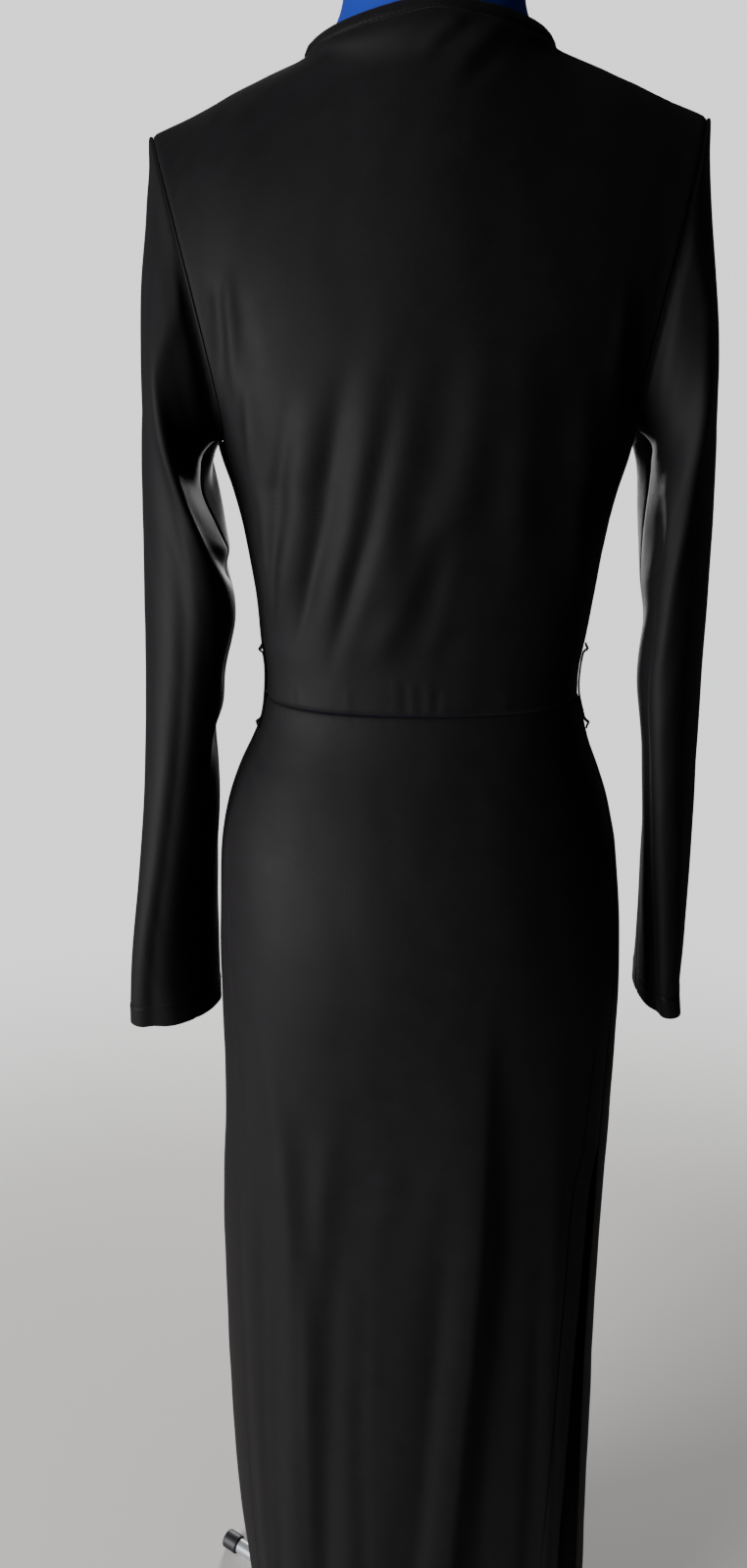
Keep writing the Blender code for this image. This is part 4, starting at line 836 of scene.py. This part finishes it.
def sew(name, line, normals, thread):
    """A row of lockstitches along a line of points, copied from one stitch."""
    sizes = bpy.context.scene.wrap_dress_sizes
    length, gap, radius = sizes.stitch, sizes.stitch * 0.28, sizes.thread / 2.0
    run = np.concatenate([[0.0], np.cumsum(np.linalg.norm(np.diff(line, axis=0), axis=1))])
    count = int(run[-1] / (length + gap))
    at = (np.arange(count) + 0.5) * (length + gap)

    def pick(rows, where):
        return np.stack([np.interp(where, run, rows[:, k]) for k in range(3)], axis=-1)

    along = pick(line, at + length / 2.0) - pick(line, at - length / 2.0)
    out = unit(pick(normals, at))
    aside = unit(np.cross(out, along))
    middle = pick(line, at) + out * radius * 0.35
    shape, faces = one_stitch()
    points = (middle[:, None] + along[:, None] / 2.0 * shape[None, :, 0:1]
              + aside[:, None] * radius * shape[None, :, 1:2]
              + out[:, None] * radius * 0.8 * shape[None, :, 2:3])
    corners = [[k + i * len(shape) for k in face] for i in range(count) for face in faces]
    mesh = bpy.data.meshes.new(name)
    mesh.from_pydata(points.reshape(-1, 3), [], corners)
    mesh.shade_smooth()
    mesh.materials.append(thread)
    row = bpy.data.objects.new(name, mesh)
    bpy.context.scene.collection.objects.link(row)
    return row


class DressSizes(bpy.types.PropertyGroup):
    cloth: bpy.props.FloatProperty(name="Cloth", description="Thickness of the jersey", default=0.0012,
                                   min=0.0005, max=0.003, unit='LENGTH')
    fold_depth: bpy.props.FloatProperty(name="Fold depth", description="How deep the folds are, 1 as photographed",
                                        default=1.0, min=0.0, max=1.4, subtype='FACTOR')
    hem_turn: bpy.props.FloatProperty(name="Hem turn", description="Depth of the turned hems", default=0.020,
                                      min=0.005, max=0.04, unit='LENGTH')
    slit_turn: bpy.props.FloatProperty(name="Slit turn", description="Depth of the turned edges beside the slit",
                                       default=0.022, min=0.005, max=0.04, unit='LENGTH')
    binding: bpy.props.FloatProperty(name="Binding", description="Width of the neck binding", default=0.009,
                                     min=0.004, max=0.015, unit='LENGTH')
    stitch: bpy.props.FloatProperty(name="Stitch", description="Length of one stitch", default=0.0027,
                                    min=0.0015, max=0.005, unit='LENGTH')
    thread: bpy.props.FloatProperty(name="Thread", description="Thickness of the sewing thread", default=0.0005,
                                    min=0.0002, max=0.001, unit='LENGTH')


class DressColours(bpy.types.PropertyGroup):
    jersey: bpy.props.FloatVectorProperty(name="Jersey", description="Colour of the dress", subtype='COLOR',
                                          default=linear_of("#120f12"), min=0.0, max=1.0)
    cover: bpy.props.FloatVectorProperty(name="Cover", description="Colour of the form's cover", subtype='COLOR',
                                         default=linear_of("#15339e"), min=0.0, max=1.0)
    tube: bpy.props.FloatVectorProperty(name="Tube", description="Colour of the stand's tubes", subtype='COLOR',
                                        default=linear_of("#a9acb2"), min=0.0, max=1.0)
    plastic: bpy.props.FloatVectorProperty(name="Plastic", description="Colour of the hub and the caps",
                                           subtype='COLOR', default=linear_of("#1d1d20"), min=0.0, max=1.0)
    floor: bpy.props.FloatVectorProperty(name="Floor", description="Colour of the floor", subtype='COLOR',
                                         default=linear_of("#f0ede9"), min=0.0, max=1.0)


def upright(z):
    """The middle line of the torso, the binding and the belt carriers."""
    return Vector((0.0, 0.0, z))


def jersey():
    return shared("black viscose jersey", black_jersey)


STITCH_LINES = []            # rows of stitches to sew: their points and outward directions
BODICE_RUN, ABOVE_UNDERARM = UNDERARM - WAIST, 0.250


def stitch_hem(points, normals, distance):
    """Two rows of stitches along a turned hem."""
    first = bpy.context.scene.wrap_dress_sizes.hem_turn - FIRST_ROW
    for inset in (0.0, SECOND_ROW):
        STITCH_LINES.append(line_at(points, normals, distance, first - inset, 0))


def bodice_rises(count):
    """Rises from the waist seam up to the crest, close together at both ends."""
    run = eased(count, PANEL_CROWD) * (BODICE_RUN + ABOVE_UNDERARM) - BODICE_RUN
    run[0] += SEAM / 2.0
    return np.where(run > 0.0, run / ABOVE_UNDERARM, run)


def bodice_edges(bound_first, bound_last):
    """What the edges of a bodice panel do: seams at the waist, the sides, the armholes and the shoulders."""
    def finish(first, last, low, high, angle, rise):
        lift = sewn(low, first, WAIST_SEAM)
        if not bound_first:
            lift += sewn(first, low, SIDE_SEAM)
        if not bound_last:
            lift += sewn(last, low, SIDE_SEAM)
        shoulder = smooth((np.abs(share_of(angle)) - NECK_SHARE) / 0.01)
        return lift + shoulder * sewn(high, first, SHOULDER_SEAM)
    return finish


def skirt_edges(slit_first):
    """What the edges of a skirt panel do: seams at the waist and the sides, and turned hem and slit edges."""
    def finish(first, last, low, high, angle, rise):
        sizes = bpy.context.scene.wrap_dress_sizes
        open_side = smooth((SLIT_TOP + 0.004 - (UNDERARM + rise)) / 0.012)
        lift = sewn(high, first, WAIST_SEAM) + turned(low, sizes.hem_turn)
        if slit_first:
            lift += (1.0 - open_side) * sewn(first, low, SIDE_SEAM)
            lift += smooth((0.80 - (UNDERARM + rise)) / 0.06) * turned(first, sizes.slit_turn)
        else:
            lift += sewn(first, low, SIDE_SEAM)
        return lift
    return finish


class DRESS_OT_bodice(bpy.types.Operator):
    """Make the back bodice and the two wrapped fronts"""
    bl_idname = "wrap_dress.bodice"
    bl_label = "Bodice"

    def execute(self, context):
        rises = bodice_rises(170)
        # Name, edges, how far inside it lies, which edges are bound, columns, flat cut and area.
        cuts = (("back_bodice", back_edges, outermost, (False, False), 170, (0.39, 0.46), 0.139),
                ("right_front_bodice", right_front_edges, outermost, (False, True), 130, (0.29, 0.46), 0.083),
                ("left_front_bodice", left_front_edges, under_over, (False, True), 130, (0.29, 0.46), 0.083))
        for k, (name, edges, inside_at, bound, columns, cut, area) in enumerate(cuts):
            made = panel(rises, edges, eased(columns, PANEL_CROWD), inside_at, bodice_edges(*bound), 1.0 + k)
            piece = cloth_sheet(name + "_cloth", *made, upright, jersey())
            worn(piece, name)
        return {'FINISHED'}


class DRESS_OT_skirt(bpy.types.Operator):
    """Make the one-piece back skirt and the two wrapped front skirts"""
    bl_idname = "wrap_dress.skirt"
    bl_label = "Skirt"

    def execute(self, context):
        sizes = context.scene.wrap_dress_sizes
        rises = HEM - UNDERARM + eased(240, PANEL_CROWD) * (WAIST - SEAM / 2.0 - HEM)
        # Name, edges, how far inside it lies, whether it has a slit edge, columns, flat cut and area.
        cuts = (("back_skirt", back_edges, outermost, True, 190, (0.34, 1.00), 0.315),
                ("right_front_skirt", right_front_edges, outermost, True, 150, (0.47, 1.00), 0.430),
                ("left_front_skirt", left_front_edges, under_over, False, 140, (0.46, 1.00), 0.424))
        for k, (name, edges, inside_at, slit, columns, cut, area) in enumerate(cuts):
            shares = eased(columns, PANEL_CROWD)
            points, across, along = panel(rises, edges, shares, inside_at, skirt_edges(slit), 4.0 + k)
            piece = cloth_sheet(name + "_cloth", points, across, along, upright, jersey())
            worn(piece, name)
            normals = grid_normals(points, upright)
            stitch_hem(points, normals, along)
            if slit:
                line, outs = line_at(points, normals, across, sizes.slit_turn - FIRST_ROW, 1)
                below = line[:, 2] < SLIT_TOP + 0.05
                STITCH_LINES.append((line[below], outs[below]))
            if name == "right_front_skirt":
                STITCH_LINES.append(line_at(points, normals, across[:, -1:] - across, 0.015, 1))
        return {'FINISHED'}


def sleeve_middle(stations, side):
    """The middle line of a sleeve, as a function of height."""
    rows = sorted((row[0], row[2], row[3]) for row in stations)
    def middle(z):
        x, y = between(rows, min(z, 1.30))
        return Vector((side * float(x), float(y), z))
    return middle


def sleeve_ring(stations, at, around, side):
    """Rings of the sleeve, each an oval whose long way is turned from the Y axis."""
    keys = np.linspace(0.0, 1.0, len(stations))
    height, tilt, mid_x, mid_y, long, short, turn = np.moveaxis(flow(keys, stations, at), -1, 0)
    c, s, turn = np.cos(around), np.sin(around), np.radians(turn)
    x = mid_x + short * c * np.cos(turn) + long * s * np.sin(turn)
    y = mid_y + long * s * np.cos(turn) - short * c * np.sin(turn)
    return lean(vec(side * x, y, height + tilt * c))


def sleeve_points(stations, left, creases, buckles, seed):
    """A sleeve's grid from the armhole down to the hem, with its run across and along."""
    side = 1.0 if left else -1.0
    t = np.linspace(-math.pi, math.pi, 181)
    rise = 1.0 - np.abs(t) / math.pi
    angle = np.where(t >= 0.0, 1.0, -1.0) * (HAIR if left else 180.0 - HAIR)
    edge = base(angle, rise)
    normal = normal_of(angle, np.maximum(rise, 0.001))
    edge = edge + normal * (fold_at(angle, edge) - 0.0010)[:, None]
    along = np.gradient(edge, axis=0)
    along[0] = along[-1] = edge[1] - edge[-2]
    away = unit(np.cross(along, normal)) * side
    edge = edge + away * math.copysign(ARMHOLE_GAP, (away[:, 0] * side).mean())
    start = sleeve_ring(stations, np.zeros_like(t), t, side)
    off = vec(side * (CAP_OUT + CAP_OUT_MORE * np.cos(t)), 0.0, -CAP_DOWN * (1.0 + np.cos(t)))
    rings, keys = [edge, edge + off], [0.0, CAP_STEP]
    for step in SLEEVE_STEPS:
        keep = 1.0 - smooth(step / ARMHOLE_REACH)
        ring = sleeve_ring(stations, np.full_like(t, step), t, side) + (edge - start) * keep
        ring[:, 0] += side * UNDERARM_EASE * keep * (0.5 - 0.5 * np.cos(t)) ** 2
        rings.append(ring)
        keys.append(step)
    steps = eased(210, SLEEVE_CROWD)
    points = flow(keys, rings, steps)
    across, down = run_length(points, 1), run_length(points, 0)
    normals = grid_normals(points, sleeve_middle(stations, side))
    normals[:, 0] = normals[:, -1] = unit(normals[:, 0] + normals[:, -1])
    lift = drift(across * 0.0 + np.sin(t)[None, :] * 0.06, down, seed)    # the same on both sides of the seam
    for crease in creases:
        share = (steps - crease.start) / (crease.end - crease.start)
        at = crease.start_turn + (crease.end_turn - crease.start_turn) * share
        gap = turn_of(np.degrees(t)[None, :] - at[:, None])
        grown = smooth((share + 0.05) / 0.30)
        if crease.end < 0.95:
            grown = grown * smooth((1.05 - share) / 0.35)
        aside = np.radians(gap) * SLEEVE_RADIUS / crease.width
        lift += grown[:, None] * crease.lift * np.exp(-aside ** 2)
    for buckle in buckles:
        gap = turn_of(np.degrees(t) - buckle.turn) / buckle.spread
        off = (steps - buckle.down) * down[-1].mean() / buckle.reach
        lift += buckle.lift * np.exp(-off[:, None] ** 2 - gap[None, :] ** 2)
    sizes = bpy.context.scene.wrap_dress_sizes
    lift *= smooth(down / 0.012) * sizes.fold_depth
    seam = np.radians(180.0 - np.abs(np.degrees(t)))[None, :] * SLEEVE_RADIUS
    lift += -0.0006 * np.exp(-(seam / 0.0018) ** 2) * smooth(down / 0.01)
    lift += sewn(down, across, SLEEVE_HEAD_SEAM) * smooth(down / 0.002)
    lift += turned(down[-1:, :] - down, sizes.hem_turn)
    return points + normals * lift[..., None], across, down


class DRESS_OT_sleeves(bpy.types.Operator):
    """Make the two long set-in sleeves"""
    bl_idname = "wrap_dress.sleeves"
    bl_label = "Sleeves"

    def execute(self, context):
        for name, stations, left, creases, buckles in (
                ("sleeve_left", SLEEVE_LEFT, True, LEFT_SLEEVE_CREASES, LEFT_SLEEVE_BUCKLES),
                ("sleeve_right", SLEEVE_RIGHT, False, RIGHT_SLEEVE_CREASES, RIGHT_SLEEVE_BUCKLES)):
            middle = sleeve_middle(stations, 1.0 if left else -1.0)
            points, across, down = sleeve_points(stations, left, creases, buckles, 8.0 if left else 9.0)
            piece = cloth_sheet(name + "_cloth", points, across, down, middle, jersey(), closed=True)
            worn(piece, name)
            normals = grid_normals(points, middle)
            stitch_hem(points, normals, down[-1:, :] - down)
        return {'FINISHED'}


# Across the binding: share of its width, and how far it stands above the panels.
BINDING_SECTION = ((0.0, -0.0004), (0.04, 0.0002), (0.12, 0.0006), (0.30, 0.0009), (0.55, 0.0009), (0.80, 0.0007),
                   (0.93, 0.0003), (1.0, -0.0006))
ROUND_NECK = 70              # points of the binding round the back neck


class DRESS_OT_binding(bpy.types.Operator):
    """Make the binding that runs up one wrap, round the back neck and down the other wrap"""
    bl_idname = "wrap_dress.binding"
    bl_label = "Neck binding"

    def execute(self, context):
        sizes = context.scene.wrap_dress_sizes
        rises = bodice_rises(150)[:-1]
        corner = 90.0 * (1.0 - NECK_SHARE)
        round_neck = np.linspace(180.0 - corner, corner, ROUND_NECK)
        going_down = rises[::-1]
        left_edge = -90.0 - wrap_edge(going_down)
        angle = np.concatenate([-90.0 + wrap_edge(rises), round_neck, left_edge])
        rise = np.concatenate([rises, np.ones(ROUND_NECK), going_down])
        under = np.concatenate([np.zeros(len(rises) + ROUND_NECK), under_over(left_edge, going_down)])
        edge = base(angle, rise)
        normal = normal_of(angle, rise)
        edge = edge + normal * (fold_at(angle, edge) - under)[:, None]
        along = unit(np.gradient(edge, axis=0))
        away = unit(np.cross(along, normal))
        for end in (0, -1):
            away[end, 2] = normal[end, 2] = 0.0
        away, normal = unit(away), unit(normal)
        section = np.array(BINDING_SECTION)
        fine = np.linspace(0.0, 1.0, 15)
        lift = np.interp(fine, section[:, 0], section[:, 1])
        points = edge[:, None] + away[:, None] * (SEAM + sizes.binding * fine)[None, :, None]
        points = points + normal[:, None] * lift[None, :, None]
        across, run = run_length(points, 1), run_length(points, 0)
        ripple = 0.00012 * np.sin(run / 0.0115 * ONE_TURN + 1.3 * np.sin(run / 0.047 * ONE_TURN))
        points = points + normal[:, None] * (ripple * np.sin(fine * math.pi)[None, :])[..., None]
        binding = shared("black jersey binding", jersey_binding)
        piece = cloth_sheet("neck_binding_strip", points, across, run, upright, binding)
        piece.modifiers["cloth thickness"].thickness = BINDING_THICK
        worn(piece, "neck_binding")
        STITCH_LINES.append((points[:, 1] + normal * 0.0002, normal))
        return {'FINISHED'}


LOOP_HIGH, LOOP_LOW, LOOP_WIDTH = 1.066, 1.002, 0.0060
TACK_ROWS = (5, 7, 82, 84)   # rows of a carrier's grid that are stitched down


class DRESS_OT_belt_loops(bpy.types.Operator):
    """Make the two narrow belt carriers on the side seams"""
    bl_idname = "wrap_dress.belt_loops"
    bl_label = "Belt carriers"

    def execute(self, context):
        heights = LOOP_LOW + (LOOP_HIGH - LOOP_LOW) * np.linspace(0.0, 1.0, 90)
        knot = np.exp(-((np.minimum(heights - LOOP_LOW, LOOP_HIGH - heights) - 0.0036) / 0.0022) ** 2)
        share = np.linspace(-1.0, 1.0, 11)
        for name, left in (("belt_loop_left", True), ("belt_loop_right", False)):
            rise = heights - UNDERARM
            angle = side_angle(rise, left)
            half = LOOP_WIDTH / 2.0 / degree_width(angle, rise)
            turns = angle[:, None] + half[:, None] * share[None, :]
            rows = rise[:, None] + 0.0 * turns
            crown = 0.0005 * (1.0 - share ** 4)[None, :]
            stand = 0.0008 + 0.0024 * knot[:, None] + crown
            points = base(turns, rows) + facing_of(turns, rows) * stand[..., None]
            across, run = run_length(points, 1), run_length(points, 0)
            piece = cloth_sheet(name + "_strip", points, across, run, upright, jersey())
            piece.modifiers["cloth thickness"].thickness = CARRIER_THICK
            worn(piece, name)
            normals = grid_normals(points, upright)
            for row in TACK_ROWS:
                STITCH_LINES.append((points[row] + normals[row] * 0.0001, normals[row]))
        return {'FINISHED'}


class DRESS_OT_stitching(bpy.types.Operator):
    """Sew the rows of stitches along the hems, the slit, the binding and the belt carriers"""
    bl_idname = "wrap_dress.stitching"
    bl_label = "Stitching"

    def execute(self, context):
        thread = shared("black polyester thread", sewing_thread)
        for k, (line, normals) in enumerate(STITCH_LINES):
            row = sew("stitches_%02d" % (k + 1), line, normals, thread)
            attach(row, "root")
        return {'FINISHED'}


# The padding: how fine and how smooth its mesh is, and how far it lies under the cloth.
PAD_STEP, PAD_PASSES, UNDER_CLOTH = 0.0045, 14, 0.0006


class DRESS_OT_form(bpy.types.Operator):
    """Make the padded, covered torso of the dress form"""
    bl_idname = "wrap_dress.form"
    bl_label = "Dress form"

    def execute(self, context):
        bm = bmesh.new()
        bm.from_mesh(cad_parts["form_torso"].data)
        bmesh.ops.remove_doubles(bm, verts=bm.verts, dist=1e-5)
        piece = put(bm, "form_torso_cover", shared("blue stretch knit cover", blue_cover))
        while len(piece.data.materials) > 1:
            piece.data.materials.pop(index=0)
        pad = piece.modifiers.new("padding", 'REMESH')
        pad.mode = 'VOXEL'
        pad.voxel_size = PAD_STEP
        ease = piece.modifiers.new("ease", 'SMOOTH')
        ease.factor = 0.5
        ease.iterations = PAD_PASSES
        under = piece.modifiers.new("under the cloth", 'DISPLACE')
        under.mid_level = 0.0
        under.strength = -UNDER_CLOTH
        graph = context.evaluated_depsgraph_get()
        padded = bpy.data.meshes.new_from_object(piece.evaluated_get(graph))
        piece.modifiers.clear()
        piece.data = padded
        padded.shade_smooth()
        worn(piece, "form_torso")
        return {'FINISHED'}


LEG_TURN, LEG_REACH, LEG_RADIUS, LEG_HEIGHT = 57.0, 0.242, 0.0075, 0.0095
CAP_RADIUS, CAP_LENGTH = 0.0095, 0.018
TUBE_RIM, CAP_RIM = 0.0004, 0.0018


def bar(name, radius, start, end, height, turn, rim, colour):
    """A round bar lying along the floor, or standing when it has no turn, with its rims rounded."""
    bm = bmesh.new()
    middle = (start + end) / 2.0
    if turn is None:
        place = Matrix.Translation((0.0, 0.0, middle))
    else:
        place = Matrix.Translation((math.cos(turn) * middle, math.sin(turn) * middle, height))
        place = place @ Matrix.Rotation(turn, 4, 'Z') @ Matrix.Rotation(math.pi / 2.0, 4, 'Y')
    bmesh.ops.create_cone(bm, cap_ends=True, segments=64, radius1=radius, radius2=radius, depth=end - start,
                          matrix=place)
    rims = [e for e in bm.edges if any(len(f.verts) > 4 for f in e.link_faces)]
    bmesh.ops.bevel(bm, geom=rims, offset=rim, segments=4, profile=0.5, affect='EDGES', material=-1)
    return put(bm, name, colour)


class DRESS_OT_stand(bpy.types.Operator):
    """Make the upright, the hub and the four capped legs of the stand"""
    bl_idname = "wrap_dress.stand"
    bl_label = "Stand"

    def execute(self, context):
        tube = shared("silver-grey powder-coated steel", painted_tube)
        plastic = shared("black moulded polypropylene", moulded_plastic)
        pole = bar("upright_tube", POLE_HIGH.x, POLE_LOW.z, POLE_HIGH.z, 0.0, None, TUBE_RIM, tube)
        worn(pole, "stand_pole")
        reach, top = HUB_HIGH.x, HUB_HIGH.z
        # Radius and height, from the middle of the underside round to the middle of the top.
        outline = ((0.0, 0.0), (reach - 0.001, 0.0), (reach, 0.001), (reach, 0.023), (reach - 0.0008, 0.0255),
                   (reach - 0.003, 0.0275), (0.0185, 0.0325), (0.0165, 0.0345), (0.0155, 0.0375),
                   (0.0150, top - 0.001), (0.0142, top), (0.0, top))
        bm = bmesh.new()
        verts = [bm.verts.new((x, 0.0, z)) for x, z in outline]
        line = [bm.edges.new(pair) for pair in zip(verts, verts[1:])]
        bmesh.ops.spin(bm, geom=verts + line, cent=(0, 0, 0), axis=(0, 0, 1), angle=2.0 * math.pi, steps=64,
                       use_merge=True)
        bmesh.ops.remove_doubles(bm, verts=bm.verts, dist=1e-6)
        bmesh.ops.recalc_face_normals(bm, faces=bm.faces)
        worn(put(bm, "hub_moulding", plastic), "stand_hub")
        for i in range(4):
            turn = math.radians(LEG_TURN + 90.0 * i)
            leg = bar("leg_tube_%d" % (i + 1), LEG_RADIUS, reach + SEAM, LEG_REACH - CAP_LENGTH - SEAM,
                      LEG_HEIGHT, turn, TUBE_RIM, tube)
            worn(leg, "leg_%d" % (i + 1))
            cap = bar("leg_end_cap_%d" % (i + 1), CAP_RADIUS, LEG_REACH - CAP_LENGTH, LEG_REACH,
                      LEG_HEIGHT, turn, CAP_RIM, plastic)
            worn(cap, "leg_cap_%d" % (i + 1))
        return {'FINISHED'}


FLOOR_RADIUS, FLOOR_THINS, FLOOR_ENDS = 2.4, 0.75, 1.9
# Name, watts, diameter, place and what the light points at.
LAMPS = (("window_key", 132.0, 2.0, (2.35, 1.50, 0.95), (0.0, 0.0, 0.75)),
         ("ceiling_fill", 2.0, 2.2, (0.3, 0.6, 3.2), (0.0, 0.0, 0.9)),
         ("front_fill", 70.0, 1.0, (0.0, -2.9, 1.15), (0.0, 0.0, 0.85)))
CAMERA_PLACE, CAMERA_TILT, CAMERA_TURN, CAMERA_LENS = (0.038, 0.86, 1.245), 71.2, 180.0, 27.2


class DRESS_OT_stage(bpy.types.Operator):
    """Set the pale floor, the soft studio light and the camera"""
    bl_idname = "wrap_dress.stage"
    bl_label = "Stage"

    def execute(self, context):
        bm = bmesh.new()
        bmesh.ops.create_circle(bm, cap_ends=True, segments=96, radius=FLOOR_RADIUS,
                                matrix=Matrix.Translation((0.0, 0.0, FLOOR - 0.0002)))
        material, tree, shader = bare_material("pale matt floor")
        colour = context.scene.wrap_dress_colours.floor
        in_sight = node(tree, 'ShaderNodeLightPath').outputs['Is Camera Ray']
        # The floor throws back less light than it shows.
        tone = node(tree, 'ShaderNodeMix', {'data_type': 'RGBA', 6: shade_of(colour, 0.35),
                                            7: shade_of(colour, 1.0)}, {0: in_sight})
        tree.links.new(tone.outputs[2], shader.inputs['Base Color'])
        shader.inputs['Roughness'].default_value = 0.7
        # The floor thins out into the pale surround, with no edge or horizon.
        place = node(tree, 'ShaderNodeTexCoord').outputs['Object']
        reach = node(tree, 'ShaderNodeVectorMath', {'operation': 'LENGTH'}, {0: place})
        thin = node(tree, 'ShaderNodeMapRange', {'interpolation_type': 'SMOOTHSTEP', 'From Min': FLOOR_THINS,
                                                 'From Max': FLOOR_ENDS}, {'Value': reach.outputs['Value']})
        clear = node(tree, 'ShaderNodeBsdfTransparent')
        faded = node(tree, 'ShaderNodeMixShader', None, {0: thin.outputs[0], 1: shader.outputs[0],
                                                         2: clear.outputs[0]})
        tree.links.new(faded.outputs[0], tree.nodes["Material Output"].inputs['Surface'])
        put(bm, "floor", material, rounded=False)

        world = bpy.data.worlds.new("pale studio")
        world.use_nodes = True
        context.scene.world = world
        tree = world.node_tree
        tree.nodes.clear()
        seen = node(tree, 'ShaderNodeBackground', {'Color': (0.96, 0.98, 0.97, 1.0), 'Strength': 1.45})
        fill = node(tree, 'ShaderNodeBackground', {'Color': (0.90, 0.93, 1.0, 1.0), 'Strength': 0.038})
        path = node(tree, 'ShaderNodeLightPath')
        both = node(tree, 'ShaderNodeMixShader', None, {0: path.outputs['Is Camera Ray'], 1: fill.outputs[0],
                                                        2: seen.outputs[0]})
        node(tree, 'ShaderNodeOutputWorld', None, {'Surface': both.outputs[0]})

        for name, energy, size, place, aim in LAMPS:
            lamp = bpy.data.lights.new(name, 'AREA')
            lamp.energy = energy
            lamp.size = size
            lamp.shape = 'DISK'
            lit = bpy.data.objects.new(name, lamp)
            lit.location = place
            lit.rotation_euler = (Vector(aim) - Vector(place)).to_track_quat('-Z', 'Y').to_euler()
            context.scene.collection.objects.link(lit)

        lens = bpy.data.cameras.new("camera")
        lens.lens = CAMERA_LENS
        lens.sensor_width = 36.0
        camera = bpy.data.objects.new("camera", lens)
        camera.location = CAMERA_PLACE
        camera.rotation_euler = (math.radians(CAMERA_TILT), 0.0, math.radians(CAMERA_TURN))
        context.scene.collection.objects.link(camera)
        context.scene.camera = camera
        return {'FINISHED'}


STEPS = (DRESS_OT_stage, DRESS_OT_bodice, DRESS_OT_skirt, DRESS_OT_sleeves, DRESS_OT_binding, DRESS_OT_belt_loops,
         DRESS_OT_stitching, DRESS_OT_form, DRESS_OT_stand)


class DRESS_PT_panel(bpy.types.Panel):
    """The pieces of the dress and of its form"""
    bl_label = "Wrap Dress"
    bl_idname = "DRESS_PT_panel"
    bl_space_type = 'VIEW_3D'
    bl_region_type = 'UI'
    bl_category = "Wrap Dress"

    def draw(self, context):
        column = self.layout.column()
        for group in (context.scene.wrap_dress_sizes, context.scene.wrap_dress_colours):
            for key in group.bl_rna.properties.keys():
                if key not in ("rna_type", "name"):
                    column.prop(group, key)
        for step in STEPS:
            column.operator(step.bl_idname)


CLASSES = (DressSizes, DressColours) + STEPS + (DRESS_PT_panel,)


def register():
    for each in CLASSES:
        bpy.utils.register_class(each)
    bpy.types.Scene.wrap_dress_sizes = bpy.props.PointerProperty(type=DressSizes)
    bpy.types.Scene.wrap_dress_colours = bpy.props.PointerProperty(type=DressColours)


def unregister():
    del bpy.types.Scene.wrap_dress_colours
    del bpy.types.Scene.wrap_dress_sizes
    for each in reversed(CLASSES):
        bpy.utils.unregister_class(each)


def main():
    register()
    bpy.ops.wrap_dress.stage()
    bpy.ops.wrap_dress.bodice()
    bpy.ops.wrap_dress.skirt()
    bpy.ops.wrap_dress.sleeves()
    bpy.ops.wrap_dress.binding()
    bpy.ops.wrap_dress.belt_loops()
    bpy.ops.wrap_dress.stitching()
    bpy.ops.wrap_dress.form()
    bpy.ops.wrap_dress.stand()


if __name__ == "__main__":
    main()
